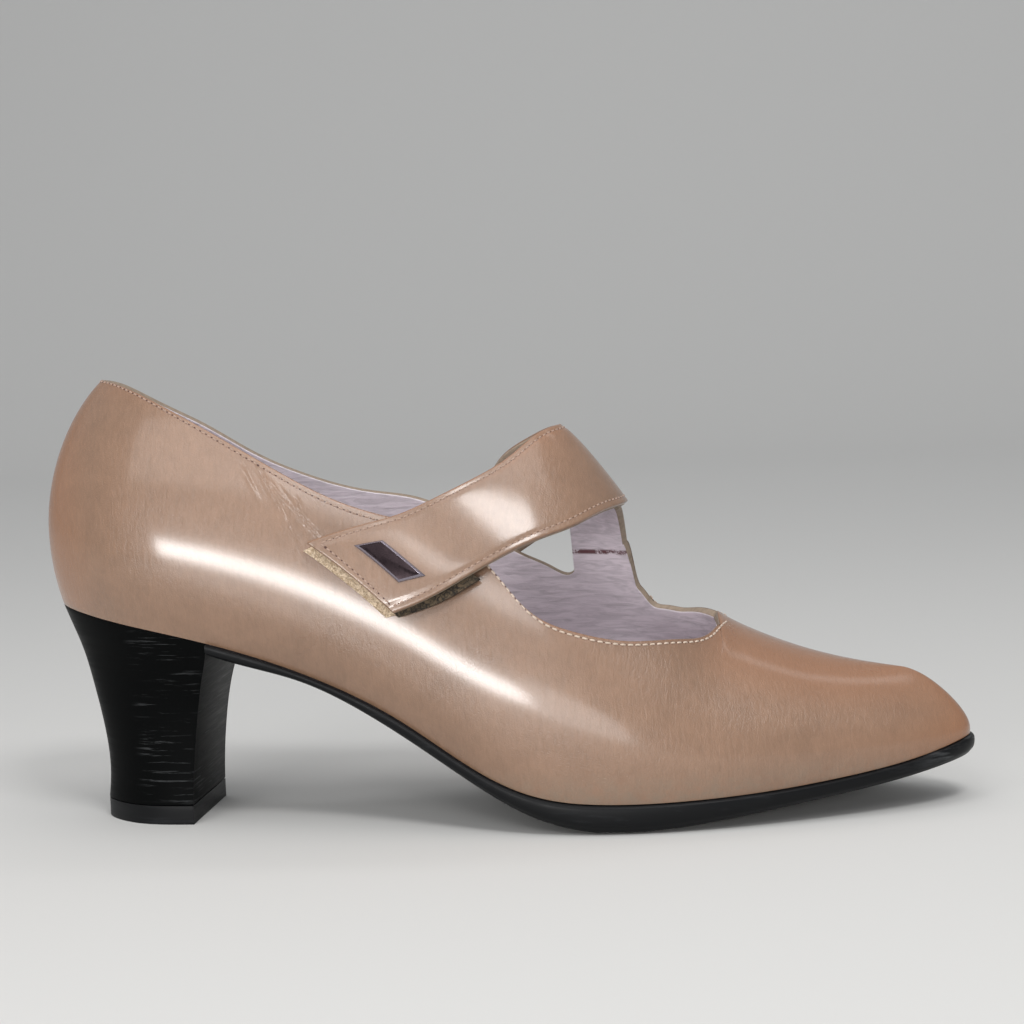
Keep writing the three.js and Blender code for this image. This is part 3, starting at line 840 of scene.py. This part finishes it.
def feed(tree, socket, value):
    """Links a node's output to a socket, or sets the socket's own value."""
    if isinstance(value, bpy.types.NodeSocket):
        tree.links.new(value, socket)
    else:
        socket.default_value = value


def node(tree, kind, inputs=None, **settings):
    made = tree.nodes.new(kind)
    for key, value in settings.items():
        setattr(made, key, value)
    for key, value in (inputs or {}).items():
        feed(tree, made.inputs[key], value)
    return made


def new_material(name, color, roughness, constants=None):
    """A surface: material, node tree and shader, with constants set on the shader's own sockets."""
    made = bpy.data.materials.new(name)
    made.use_nodes = True
    shader = made.node_tree.nodes["Principled BSDF"]
    shader.inputs["Base Color"].default_value = (*color, 1)
    shader.inputs["Roughness"].default_value = roughness
    for key, value in (constants or {}).items():
        shader.inputs[key].default_value = value
    return made, made.node_tree, shader


def ramp(tree, factor, low, high, low_color, high_color):
    made = node(tree, "ShaderNodeValToRGB", {"Fac": factor})
    made.color_ramp.elements[0].position = low
    made.color_ramp.elements[0].color = low_color
    made.color_ramp.elements[1].position = high
    made.color_ramp.elements[1].color = high_color
    return made.outputs["Color"]


def mix_color(tree, factor, a, b, blend="MIX"):
    inputs = {0: factor, 6: a, 7: b}
    return node(tree, "ShaderNodeMix", inputs, data_type="RGBA", blend_type=blend).outputs[2]


def multiply(tree, a, b):
    return node(tree, "ShaderNodeMath", {0: a, 1: b}, operation="MULTIPLY").outputs[0]


def map_range(tree, value, low, high, to_low=0.0, to_high=1.0, **settings):
    inputs = {"Value": value, "From Min": low, "From Max": high, "To Min": to_low, "To Max": to_high}
    return node(tree, "ShaderNodeMapRange", inputs, **settings).outputs["Result"]


def noise(tree, size, stretch=(1, 1, 1), turn=0, detail=4.0, roughness=0.6, distortion=0.0):
    """A noise in the object's own space, in cells per metre, stretched, and turned about y in degrees."""
    place = tree.nodes.new("ShaderNodeTexCoord").outputs["Object"]
    turns = (0, math.radians(turn), 0)
    mapping = node(tree, "ShaderNodeMapping", {"Vector": place, "Scale": stretch, "Rotation": turns})
    inputs = {"Scale": size, "Detail": detail, "Roughness": roughness, "Distortion": distortion}
    return node(tree, "ShaderNodeTexNoise", {"Vector": mapping.outputs["Vector"], **inputs}).outputs["Fac"]


def along(tree, axis, low, high):
    """Rises from 0 to 1 between two places along an axis of the shoe."""
    place = tree.nodes.new("ShaderNodeTexCoord").outputs["Object"]
    value = node(tree, "ShaderNodeSeparateXYZ", {"Vector": place}).outputs[axis]
    return map_range(tree, value, float(low), float(high), interpolation_type="SMOOTHSTEP")


def band(tree, axis, low, high, soft):
    """1 between two places along an axis, fading out over a soft width on both sides."""
    return multiply(tree, along(tree, axis, low - soft, low), along(tree, axis, high + soft, high))


def opaque(color, share=1.0):
    return (*(min(1.0, c * share) for c in color), 1.0)


def make_grain_group():
    """Fine leather grain: a height made of pores and of flex wrinkles that run across the foot."""
    tree = bpy.data.node_groups.new("Leather grain", "ShaderNodeTree")
    for name in ("Height", "Mottle"):
        tree.interface.new_socket(name, in_out="OUTPUT", socket_type="NodeSocketFloat")
    wrinkles = noise(tree, 520.0, (1.9, 0.7, 0.55), turn=-16, detail=5.0, roughness=0.62, distortion=0.5)
    pores = noise(tree, 3200.0, detail=2.0, roughness=0.5)
    inputs = {0: pores, 1: PORE_SHARE, 2: wrinkles}
    height = node(tree, "ShaderNodeMath", inputs, operation="MULTIPLY_ADD").outputs[0]
    node(tree, "NodeGroupOutput", {"Height": height, "Mottle": wrinkles})
    return tree


def finish_surface(surface, color, roughness, height, strength, distance):
    """Links a colour, a roughness and a bump to a shader, and leaves as set what is None."""
    made, tree, shader = surface
    bump = node(tree, "ShaderNodeBump", {"Strength": strength, "Distance": distance, "Height": height})
    outputs = {"Base Color": color, "Roughness": roughness, "Normal": bump.outputs["Normal"]}
    for key, value in outputs.items():
        if value is not None:
            tree.links.new(value, shader.inputs[key])
    return made


def make_taupe_leather(colors):
    base = colors.leather_color
    surface = new_material("Taupe leather", base, 0.3, {"Coat Weight": 0.75, "Coat Roughness": 0.15})
    tree = surface[1]
    grain = node(tree, "ShaderNodeGroup", node_tree=make_grain_group()).outputs
    cloud = noise(tree, 26.0)
    fleck = noise(tree, 240.0, detail=5.0, roughness=0.7)
    tone = ramp(tree, cloud, 0.35, 0.65, opaque(base, 0.88), opaque(base, 1.07))
    fine = ramp(tree, grain["Mottle"], 0.3, 0.7, (0.93, 0.93, 0.92, 1), (1.06, 1.05, 1.05, 1))
    spots = ramp(tree, fleck, 0.35, 0.7, (0.95, 0.94, 0.93, 1), (1.05, 1.05, 1.05, 1))
    color = mix_color(tree, 1.0, mix_color(tree, 1.0, tone, fine, "MULTIPLY"), spots, "MULTIPLY")
    # Painted warm reflection where the face turns to the top, the back or the toe
    warm_reflection = node(tree, "ShaderNodeAttribute", attribute_name="warm_reflection").outputs["Fac"]
    color = mix_color(tree, multiply(tree, warm_reflection, WARM_REFLECTION_SHARE), color, opaque(colors.warm_reflection_color))
    dirt = multiply(tree, along(tree, "Z", DIRT_TOP, DIRT_FULL), map_range(tree, fleck, 0.35, 0.6))
    color = mix_color(tree, multiply(tree, dirt, DIRT_SHARE), color, opaque(colors.dirt_color))
    gloss = map_range(tree, cloud, 0.3, 0.7, 0.25, 0.37)
    return finish_surface(surface, color, gloss, grain["Height"], 0.8, 0.25 * MM)


def make_lining_leather(colors):
    base = colors.lining_color
    surface = new_material("Lining leather", base, 0.4)
    tree = surface[1]
    wrinkles = noise(tree, 230.0, (0.5, 0.8, 3.4), turn=12, detail=5.0, roughness=0.62, distortion=0.8)
    tone = ramp(tree, wrinkles, 0.32, 0.6, opaque(base, 0.7), opaque(base))
    ragged = noise(tree, 420.0, detail=5.0, roughness=0.75)
    line = band(tree, "Z", STAIN_LOW, STAIN_HIGH, 0.7 * MM)
    ear = band(tree, "X", along_foot(STAIN_BACK), along_foot(STAIN_FRONT), 1 * MM)
    stain = multiply(tree, multiply(tree, line, ear), map_range(tree, ragged, 0.42, 0.52))
    color = mix_color(tree, stain, tone, opaque(colors.stain_color))
    return finish_surface(surface, color, None, wrinkles, 0.55, 0.5 * MM)


def make_black_rubber(colors):
    base = colors.sole_color
    surface = new_material("Black rubber", base, 0.4, {"Specular IOR Level": 0.14})
    tree = surface[1]
    streaks = noise(tree, 150.0, (0.35, 0.35, 3.0), detail=6.0, roughness=0.7)
    tone = ramp(tree, streaks, 0.56, 0.85, opaque(base), opaque(base, 4.0))
    toe = along(tree, "X", along_foot(SCUFF_START), along_foot(SCUFF_FULL))
    scuffed = multiply(tree, toe, map_range(tree, streaks, 0.47, 0.6))
    color = mix_color(tree, multiply(tree, scuffed, SCUFF_SHARE), tone, opaque(colors.scratch_and_sheen_color))
    gloss = map_range(tree, streaks, 0.3, 0.75, 0.34, 0.55)
    return finish_surface(surface, color, gloss, streaks, 0.2, 0.2 * MM)


def make_black_cover(colors):
    base = colors.heel_color
    surface = new_material("Black cover", base, 0.34, {"Specular IOR Level": 0.02})
    tree = surface[1]
    # Light lines near the breast: partly real scratches, partly painted sheen lines
    scratches_and_sheen = noise(tree, 190.0, (0.22, 0.22, 5.5), turn=4, detail=5.0, roughness=0.72, distortion=0.3)
    near_breast = band(tree, "X", along_foot(SCRATCH_AND_SHEEN_BACK), along_foot(SCRATCH_AND_SHEEN_FRONT), 6 * MM)
    mask = multiply(tree, near_breast, map_range(tree, scratches_and_sheen, 0.57, 0.63))
    worn_and_sheen = multiply(tree, mask, SCRATCH_AND_SHEEN_SHARE)
    color = mix_color(tree, worn_and_sheen, opaque(base), opaque(colors.scratch_and_sheen_color))
    gloss = map_range(tree, scratches_and_sheen, 0.3, 0.75, 0.28, 0.46)
    return finish_surface(surface, color, gloss, scratches_and_sheen, 0.06, 0.1 * MM)


def make_clouded(name, colors, roughness, tones, bump, cloud, constants=None):
    """A finish of one noise: two colours, where on the noise they begin, and its bump."""
    surface = new_material(name, colors[1][:3], roughness, constants)
    height = noise(surface[1], **cloud)
    return finish_surface(surface, ramp(surface[1], height, *tones, *colors), None, height, *bump)


def make_edge_leather(color):
    shades = opaque(color, 0.7), opaque(color)
    return make_clouded("Edge leather", shades, 0.6, (0.3, 0.6), (0.4, 0.2 * MM), {"size": 700.0})


def make_pile(name, colors, size):
    shades = [opaque(color) for color in colors]
    fibres = {"size": size, "detail": 5.0, "roughness": 0.75, "distortion": 1.2}
    return make_clouded(name, shades, 0.95, (0.42, 0.62), (1.0, 0.6 * MM), fibres)


def make_thread(name, color):
    shades = opaque(color, 0.7), opaque(color)
    fibres = {"size": 2500.0, "detail": 2.0}
    sheen = {"Sheen Weight": 0.3}
    return make_clouded(name, shades, 0.55, (0.35, 0.65), (0.4, 0.1 * MM), fibres, sheen)


def make_metal(name, color, roughness):
    surface = new_material(name, color, roughness, {"Metallic": 0.9})
    cloud = noise(surface[1], 500.0, detail=5.0)
    gloss = map_range(surface[1], cloud, 0.3, 0.7, roughness - 0.06, roughness + 0.1)
    return finish_surface(surface, None, gloss, cloud, 0.08, 0.1 * MM)


MATERIALS = {}


def make_materials(colors):
    return {
        "taupe": make_taupe_leather(colors),
        "lining": make_lining_leather(colors),
        "edge": make_edge_leather(colors.edge_color),
        "sole": make_black_rubber(colors),
        "heel": make_black_cover(colors),
        "loop": make_pile("Loop pile", LOOP_COLORS, 900.0),
        "hook": make_pile("Hook pile", HOOK_COLORS, 800.0),
        "metal": make_metal("Gun metal", METAL_COLOR, 0.24),
        # Light metal on the plate's bevels: a painted highlight
        "metal edge": make_metal("Painted_highlight metal edge", METAL_EDGE_HIGHLIGHT_COLOR, 0.2),
        "thread": make_thread("Thread", colors.thread_color),
        "leather thread": make_thread("Leather thread", colors.leather_thread_color),
        "hole": new_material("Needle hole", colors.hole_color, 0.8)[0],
    }


def paint(piece, *names):
    """Gives a piece its materials, made when the first piece asks for one."""
    if not MATERIALS:
        MATERIALS.update(make_materials(bpy.context.scene.pump_colors))
    piece.data.materials.clear()
    for name in names:
        piece.data.materials.append(MATERIALS[name])


def complete(piece, finish, slot, *nodes, bevel=(), degrees=40):
    """Paints a piece, rounds its corners where asked, smooths it and hands it to the frame."""
    paint(piece, finish)
    if bevel:
        bevel_corners(piece, *bevel)
    smooth(piece, degrees)
    finish_piece(piece, slot, *nodes)


# Stitches laid along lines on the surface
STITCH_FACES = 6
STITCH_PROFILE = ((-0.5, 0.0, 0.55), (-0.3, 0.85, 0.95), (0.0, 1.0, 1.0), (0.3, 0.85, 0.95), (0.5, 0.0, 0.55))
STITCH_RISE = 0.9
STITCH_FLATNESS = 0.8
HOLE_FACES = 8
HOLE_LIFT = 0.07 * MM
HOLE_DOME = 1.5 * HOLE_LIFT


def even_places(lines, pitch):
    """Places every pitch along the lines, each with its direction, its normal and the direction across."""
    for points, normals in lines:
        run = np.concatenate([[0], np.cumsum(np.linalg.norm(np.diff(points, axis=0), axis=1))])
        middles = (np.arange(int(run[-1] / pitch)) + 0.5) * pitch

        def along_line(values, at):
            return np.stack([np.interp(at, run, values[:, k]) for k in range(3)], -1)

        up = along_line(normals, middles)
        up /= np.linalg.norm(up, axis=1, keepdims=True)
        forward = along_line(points, middles + pitch / 4) - along_line(points, middles - pitch / 4)
        forward /= np.linalg.norm(forward, axis=1, keepdims=True)
        yield from zip(along_line(points, middles), forward, up, np.cross(up, forward))


def turns_round(count):
    return [(math.cos(2 * math.pi * k / count), math.sin(2 * math.pi * k / count)) for k in range(count)]


def thread_mesh(lines, pitch, length, radius, sink):
    """Short rounded threads along the lines, each dipping into its holes."""
    verts = []
    faces = []
    for place, forward, up, side in even_places(lines, pitch):
        start = len(verts)
        for share, rise, thick in STITCH_PROFILE:
            centre = place + forward * share * length + up * (rise * radius * STITCH_RISE - sink)
            for cosine, sine in turns_round(STITCH_FACES):
                wide = side * cosine + up * sine * STITCH_FLATNESS
                verts.append(centre + wide * radius * thick)
        faces += grid_faces(len(STITCH_PROFILE), STITCH_FACES, start, wrap=True)
        faces.append(tuple(reversed(range(start, start + STITCH_FACES))))
        faces.append(tuple(range(len(verts) - STITCH_FACES, len(verts))))
    return verts, faces


def hole_mesh(lines, pitch, half_length, half_width):
    """Dark needle holes between the stitches: low domes that sit on the surface."""
    verts = []
    faces = []
    for place, forward, up, side in even_places(lines, pitch):
        middle = place + forward * pitch / 2
        start = len(verts)
        for cosine, sine in turns_round(HOLE_FACES):
            spread = forward * cosine * half_length + side * sine * half_width
            verts.append(middle + spread - up * HOLE_LIFT)
        verts.append(middle + up * HOLE_DOME)
        for k in range(HOLE_FACES):
            faces.append((start + k, start + (k + 1) % HOLE_FACES, start + HOLE_FACES))
        faces.append(tuple(reversed(range(start, start + HOLE_FACES))))
    return verts, faces


# Seams beside the opening's edge: side, start and end along the foot, points, inset and shift to the back
THROAT_SEAMS = ((-1, 0.487, THROAT_END, 200, 0.007, 0.003), (1, 0.652, THROAT_END, 120, 0.007, 0.003))
COLLAR_SEAMS = ((-1, 0.035, 0.40, 160, 0.014, 0.0), (1, 0.035, 0.40, 160, 0.014, 0.0))
STRAP_SEAM_END = 0.12
STRAP_SEAM_POINTS = 400
STRAP_END_POINTS = 60
THROAT_SINK = 0.08 * MM
THROAT_HOLE = (0.34 * MM, 0.24 * MM)
LEATHER_PITCH = 0.92
LEATHER_LENGTH = 0.6
LEATHER_RADIUS = 0.9
LEATHER_SINK = 0.12 * MM
LEATHER_HOLE = (0.47 * MM, 0.33 * MM)


def edge_seam(side, start, end, count, inset, shift):
    at = np.linspace(start, end, count)
    return surface_at(at, edge_girth(at - shift, side) + side * inset)


def strap_seam(steps, across):
    top = strap_top(steps, across)
    points = sheet_point(STRAP_EDGES, steps, across, top)
    return points, (points - sheet_point(STRAP_EDGES, steps, across, top - MM)) / MM


def strap_seams():
    """The seams along both sides of the strap and across its end."""
    steps = np.linspace(STRAP_SEAM_END, STRAP_STEPS - STRAP_SEAM_END, STRAP_SEAM_POINTS)
    across = np.linspace(STITCH_INSET, 1 - STITCH_INSET, STRAP_END_POINTS)
    sides = [strap_seam(steps, np.full(len(steps), share)) for share in (across[0], across[-1])]
    return [*sides, strap_seam(np.full(len(across), STRAP_SEAM_END), across)]


# Sizes and colours that a user would change
def size_property(name, description, size):
    return bpy.props.FloatProperty(name=name, description=description, default=size, unit="LENGTH")


def color_property(name, description, color):
    return bpy.props.FloatVectorProperty(name=name, description=description, default=color, subtype="COLOR")


class PumpSizes(bpy.types.PropertyGroup):
    """Sizes of the pump's details"""

    upper_wall: size_property("Upper wall", "Thickness of upper and lining", UPPER_WALL)
    edge_bevel: size_property("Edge rounding", "Rounding of cut and folded edges", UPPER_BEVEL)
    stitch_pitch: size_property("Stitch pitch", "Distance between two stitches", 2.0 * MM)
    stitch_length: size_property("Stitch length", "Length of one stitch on the face", 1.4 * MM)
    stitch_radius: size_property("Thread radius", "Half the thread's thickness", 0.26 * MM)


class PumpColors(bpy.types.PropertyGroup):
    """Colours of the pump's materials"""

    leather_color: color_property("Leather", "Colour of the upper and strap", (0.246, 0.147, 0.094))
    # Colour of the painted warm reflection at back, toe and instep
    warm_reflection_color: color_property("Warm_reflection", "Warm tint at back, toe and instep", (0.33, 0.138, 0.055))
    dirt_color: color_property("Dirt", "Dust in the welt above the sole", (0.19, 0.15, 0.11))
    lining_color: color_property("Lining", "Colour of the lining", (0.80, 0.73, 0.78))
    stain_color: color_property("Stain", "Mark across the lining of the ear", (0.13, 0.05, 0.055))
    edge_color: color_property("Edges", "Colour of folded edges", (0.33, 0.255, 0.19))
    thread_color: color_property("Thread", "Colour of the throat's stitches", (0.66, 0.53, 0.43))
    leather_thread_color: color_property("Leather thread", "Colour of other stitches", (0.42, 0.28, 0.215))
    hole_color: color_property("Needle holes", "Colour of the holes", (0.075, 0.035, 0.028))
    sole_color: color_property("Sole", "Colour of sole and top piece", (0.006, 0.0064, 0.0072))
    heel_color: color_property("Heel", "Colour of the heel's cover", (0.003, 0.0033, 0.0034))
    # Worn places on the sole; on the heel also painted sheen lines
    scratch_and_sheen_color: color_property("Scratches_and_sheen", "Painted_highlight places on sole and heel", (0.11, 0.115, 0.12))


# Rounded corners as width, segments and least angle, grids as counts, and smoothing angles in degrees
STRAP_ROUNDING = (0.45 * MM, 3, 55)
BACKING_ROUNDING = (0.25 * MM, 2, 55)
PLATE_ROUNDING = (0.12 * MM, 2, 20)
HEEL_ROUNDING = (0.35 * MM, 3, 50)
STRAP_GRID = (STRAP_STEPS, 260, 41)
BACKING_GRID = (STRAP_STEPS, 200, 17)
PATCH_GRID = (PATCH_STEPS, 90, 60)
SHEET_ANGLE = 60
PATCH_ANGLE = 80
PLATE_ANGLE = 30
BOTTOM_ANGLE = 45
BACKING_GAP = 0.04 * MM
LOOP_ROUGHNESS = 0.35 * MM
HOOK_ROUGHNESS = 0.1 * MM
PILE_SEED = 7


class MakeUpper(bpy.types.Operator):
    """Builds the leather upper with its lining and folded edge"""

    bl_idname = "pump.make_upper"
    bl_label = "Upper"

    def execute(self, context):
        sizes = context.scene.pump_sizes
        upper = mesh_object("upper_shell", *build_upper_skin())
        weld(upper, UPPER_WELD)
        paint(upper, "taupe", "lining", "edge")
        slots = {"material_offset": 1, "material_offset_rim": RIM_SLOT}
        apply_modifier(upper, "SOLIDIFY", thickness=sizes.upper_wall, offset=-1, **slots)
        weigh_rim(upper.data)
        limits = {"limit_method": "WEIGHT", "use_clamp_overlap": False}
        apply_modifier(upper, "BEVEL", width=sizes.edge_bevel, segments=3, **limits)
        smooth(upper, SHEET_ANGLE)
        # Paints a warm reflection on faces turned up, back or to the toe
        mark_warm_reflection(upper)
        finish_piece(upper, "taupe_leather", "upper")
        return {"FINISHED"}


class MakeStrap(bpy.types.Operator):
    """Builds the strap: leather on top, backing underneath"""

    bl_idname = "pump.make_strap"
    bl_label = "Strap"

    def execute(self, context):
        grid = sheet_grid(*STRAP_GRID)
        low = strap_lift(grid[0]) + STRAP_BACKING
        strap = sheet_solid("strap_band", STRAP_EDGES, grid, low, strap_top(*grid))
        complete(strap, "taupe", "taupe_leather", "strap", bevel=STRAP_ROUNDING, degrees=SHEET_ANGLE)
        # Paints a warm reflection on faces turned up, back or to the toe
        mark_warm_reflection(strap)
        grid = sheet_grid(*BACKING_GRID)
        low = strap_lift(grid[0])
        high = low + STRAP_BACKING - BACKING_GAP
        backing = sheet_solid("strap_backing", STRAP_EDGES, grid, low, high)
        complete(backing, "edge", "lining_leather", bevel=BACKING_ROUNDING, degrees=SHEET_ANGLE)
        return {"FINISHED"}


class MakePatches(bpy.types.Operator):
    """Builds the loop patch on the quarter and the hook patch under the strap's end"""

    bl_idname = "pump.make_patches"
    bl_label = "Hook and loop patches"

    def execute(self, context):
        grid = sheet_grid(*PATCH_GRID)
        rng = np.random.default_rng(PILE_SEED)
        high = GAP + LOOP_THICKNESS - LOOP_ROUGHNESS * rng.random(grid[0].shape)
        loop = sheet_solid("loop_pile", LOOP_EDGES, grid, GAP, high)
        complete(loop, "loop", "loop_fabric", "loop_patch", degrees=PATCH_ANGLE)
        low = GAP + LOOP_THICKNESS + GAP
        high = low + HOOK_THICKNESS - HOOK_ROUGHNESS * rng.random(grid[0].shape)
        hook = sheet_solid("hook_pile", HOOK_EDGES, grid, low, high)
        complete(hook, "hook", "hook_fabric", "hook_patch", degrees=PATCH_ANGLE)
        return {"FINISHED"}


class MakePlate(bpy.types.Operator):
    """Builds the small bevelled metal plate on the strap's end"""

    bl_idname = "pump.make_plate"
    bl_label = "Plate"

    def execute(self, context):
        low = strap_lift(0.0) + STRAP_THICKNESS - STRAP_FULLNESS
        levels = ((0, low), (0, low + PLATE_RIM), (PLATE_BEVEL, low + PLATE_THICKNESS))
        loops = [plate_loop(inset, lift) for inset, lift in levels]
        count = len(loops[0])
        faces = grid_faces(len(loops), count, wrap=True)
        faces.append(tuple(reversed(range(count))))
        faces.append(tuple(range(2 * count, 3 * count)))
        plate = mesh_object("metal_plate", np.concatenate(loops), faces)
        paint(plate, "metal", "metal edge")
        # The bevel faces take the light metal: a painted highlight
        for face in plate.data.polygons[count : 2 * count]:
            face.material_index = 1
        weld(plate, PLATE_WELD)
        bevel_corners(plate, *PLATE_ROUNDING)
        smooth(plate, PLATE_ANGLE)
        finish_piece(plate, "gun_metal", "plate")
        return {"FINISHED"}


class MakeBottom(bpy.types.Operator):
    """Builds sole, heel and top piece, and gives the insole its lining"""

    bl_idname = "pump.make_bottom"
    bl_label = "Sole and heel"

    def execute(self, context):
        pieces = (
            (build_outsole(), "sole", "black_rubber", "outsole", ()),
            (build_heel(), "heel", "black_cover", "heel", HEEL_ROUNDING),
            (build_top_piece(), "sole", "black_rubber", "top_piece", HEEL_ROUNDING),
        )
        for piece, finish, slot, cad_node, rounding in pieces:
            complete(piece, finish, slot, cad_node, bevel=rounding, degrees=BOTTOM_ANGLE)
        paint(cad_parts["insole"], "lining")
        return {"FINISHED"}


class MakeStitches(bpy.types.Operator):
    """Sews the collar, the throat and the strap"""

    bl_idname = "pump.make_stitches"
    bl_label = "Stitches"

    def execute(self, context):
        sizes = context.scene.pump_sizes
        pitch, radius = sizes.stitch_pitch, sizes.stitch_radius
        throat = [edge_seam(*seam) for seam in THROAT_SEAMS]
        leather = [edge_seam(*seam) for seam in COLLAR_SEAMS] + strap_seams()
        close = pitch * LEATHER_PITCH
        threads = thread_mesh(throat, pitch, sizes.stitch_length, radius, THROAT_SINK)
        fine_threads = thread_mesh(
            leather, close, close * LEATHER_LENGTH, radius * LEATHER_RADIUS, LEATHER_SINK
        )
        pieces = (
            ("throat_stitches", threads, "thread"),
            ("throat_holes", hole_mesh(throat, pitch, *THROAT_HOLE), "hole"),
            ("leather_stitches", fine_threads, "leather thread"),
            ("leather_holes", hole_mesh(leather, close, *LEATHER_HOLE), "hole"),
        )
        for name, mesh, finish in pieces:
            complete(mesh_object(name, *mesh), finish, "taupe_leather")
        return {"FINISHED"}


# The stage: camera places in millimetres, and lights in metres, degrees and watts
CAMERA_PLACE = (65.0, -587.7, 126.4)
CAMERA_TARGET = (3.2, 0.0, 79.93)
CAMERA_ROLL = math.radians(-2.23)
CAMERA_LENS = 77.34
CAMERA_SENSOR = 36
CAMERA_NEAR = 10 * MM
PHOTO_TOE = 123.4
FLOOR_COLOR = (0.66, 0.66, 0.65)
FLOOR_GLOSS = 0.9
FLOOR_WIDTH = 12.0
FLOOR_FRONT = 8.0
FLOOR_BACK = 1.6
SWEEP_RADIUS = 1.2
SWEEP_HEIGHT = 3.0
SWEEP_POINTS = 24
SWEEP_ANGLE = 80
WORLD_COLOR = (0.97, 0.98, 1.0, 1)
WORLD_STRENGTH = 0.4
LIGHT_TARGET = Vector((0, 0, 0.06))
LIGHTS = (
    # Name, azimuth, elevation, distance, width, height, power and colour
    ("strip", -20, 4, 1.1, 0.31, 0.10, 3.5, (1.0, 0.985, 0.97)),
    ("key", -25, 38, 1.4, 0.9, 0.6, 3.2, (1.0, 0.985, 0.97)),
    ("sheen", 0, 4, 1.1, 0.44, 0.24, 1.6, (1.0, 0.985, 0.97)),
    ("collar", -3, 30, 1.1, 0.20, 0.12, 0.6, (1.0, 0.99, 0.98)),
    ("crest", 25, 52, 1.0, 0.26, 0.2, 3.2, (1.0, 0.99, 0.98)),
    ("top", 20, 78, 1.0, 0.9, 0.5, 2.4, (1.0, 0.99, 0.97)),
)
BACKDROP_PLACE = Vector((0, 1.1, 2.4))
BACKDROP_AIM = Vector((0, 1.4, -1.5))
BACKDROP = (3.0, 0.8, 13.0, (1.0, 1.0, 1.0))


def build_floor():
    """A paper sweep: flat under the shoe, curving up well behind it."""
    turns = np.linspace(0, math.pi / 2, SWEEP_POINTS)
    back = FLOOR_BACK + SWEEP_RADIUS * np.sin(turns)
    rise = SWEEP_RADIUS * (1 - np.cos(turns))
    profile = [(-FLOOR_FRONT, 0.0), *zip(back, rise), (FLOOR_BACK + SWEEP_RADIUS, SWEEP_HEIGHT)]
    points = [(x, y, z) for y, z in profile for x in (-FLOOR_WIDTH / 2, FLOOR_WIDTH / 2)]
    floor = mesh_object("floor", points, grid_faces(len(profile), 2))
    smooth(floor, SWEEP_ANGLE)
    floor.data.materials.append(new_material("Pale floor", FLOOR_COLOR, FLOOR_GLOSS)[0])
    return floor


def add_camera(scene):
    """Stands the camera where the photo was taken, turned a little about its line of sight."""
    shift = Vector((TOE_X - PHOTO_TOE * MM, 0, 0))
    place = Vector(CAMERA_PLACE) * MM + shift
    target = Vector(CAMERA_TARGET) * MM + shift
    data = bpy.data.cameras.new("camera")
    data.lens = CAMERA_LENS
    data.sensor_width = CAMERA_SENSOR
    data.clip_start = CAMERA_NEAR
    camera = bpy.data.objects.new("camera", data)
    back = (place - target).normalized()
    right = Vector((0, 0, 1)).cross(back).normalized()
    turn = Matrix((right, back.cross(right), back)).transposed() @ Matrix.Rotation(CAMERA_ROLL, 3, "Z")
    camera.matrix_world = Matrix.Translation(place) @ turn.to_4x4()
    scene.collection.objects.link(camera)
    scene.camera = camera


def add_world(scene):
    world = bpy.data.worlds.new("studio")
    world.use_nodes = True
    background = world.node_tree.nodes["Background"].inputs
    background["Color"].default_value = WORLD_COLOR
    background["Strength"].default_value = WORLD_STRENGTH
    scene.world = world


def add_light(scene, name, place, aim, wide, tall, power, color):
    data = bpy.data.lights.new(name, "AREA")
    data.shape = "RECTANGLE"
    data.size = wide
    data.size_y = tall
    data.energy = power
    data.color = color
    light = bpy.data.objects.new(name, data)
    light.location = place
    light.rotation_euler = aim.to_track_quat("-Z", "Y").to_euler()
    scene.collection.objects.link(light)


class MakeStage(bpy.types.Operator):
    """Sets up the floor, the lights and the camera"""

    bl_idname = "pump.make_stage"
    bl_label = "Stage"

    def execute(self, context):
        scene = context.scene
        floor = build_floor()
        floor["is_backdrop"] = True
        add_camera(scene)
        add_world(scene)
        for name, azimuth, elevation, distance, *rest in LIGHTS:
            az, el = math.radians(azimuth), math.radians(elevation)
            out = Vector((math.sin(az) * math.cos(el), -math.cos(az) * math.cos(el), math.sin(el)))
            add_light(scene, name, LIGHT_TARGET + out * distance, -out, *rest)
        add_light(scene, "backdrop", BACKDROP_PLACE, BACKDROP_AIM, *BACKDROP)
        scene.view_settings.view_transform = "Standard"
        return {"FINISHED"}


class PumpPanel(bpy.types.Panel):
    """Lists the pump's pieces"""

    bl_idname = "VIEW3D_PT_pump"
    bl_label = "Mary jane pump"
    bl_space_type = "VIEW_3D"
    bl_region_type = "UI"
    bl_category = "Shoe"

    def draw(self, context):
        for operator in OPERATORS:
            self.layout.operator(operator.bl_idname)


OPERATORS = (MakeUpper, MakeStrap, MakePatches, MakePlate, MakeBottom, MakeStitches, MakeStage)
GROUPS = (PumpSizes, PumpColors)


def register():
    for made in (*GROUPS, *OPERATORS, PumpPanel):
        bpy.utils.register_class(made)
    bpy.types.Scene.pump_sizes = bpy.props.PointerProperty(type=PumpSizes)
    bpy.types.Scene.pump_colors = bpy.props.PointerProperty(type=PumpColors)


def unregister():
    del bpy.types.Scene.pump_colors
    del bpy.types.Scene.pump_sizes
    for made in reversed((*GROUPS, *OPERATORS, PumpPanel)):
        bpy.utils.unregister_class(made)


def main():
    register()
    bpy.ops.pump.make_stage()
    bpy.ops.pump.make_upper()
    bpy.ops.pump.make_strap()
    bpy.ops.pump.make_patches()
    bpy.ops.pump.make_plate()
    bpy.ops.pump.make_bottom()
    bpy.ops.pump.make_stitches()
    plain = lambda bounds: [[float(v) for v in corner] for corner in bounds]
    {"cad": plain(cad_bounds), "visual": plain(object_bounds())}


if __name__ == "__main__":
    main()
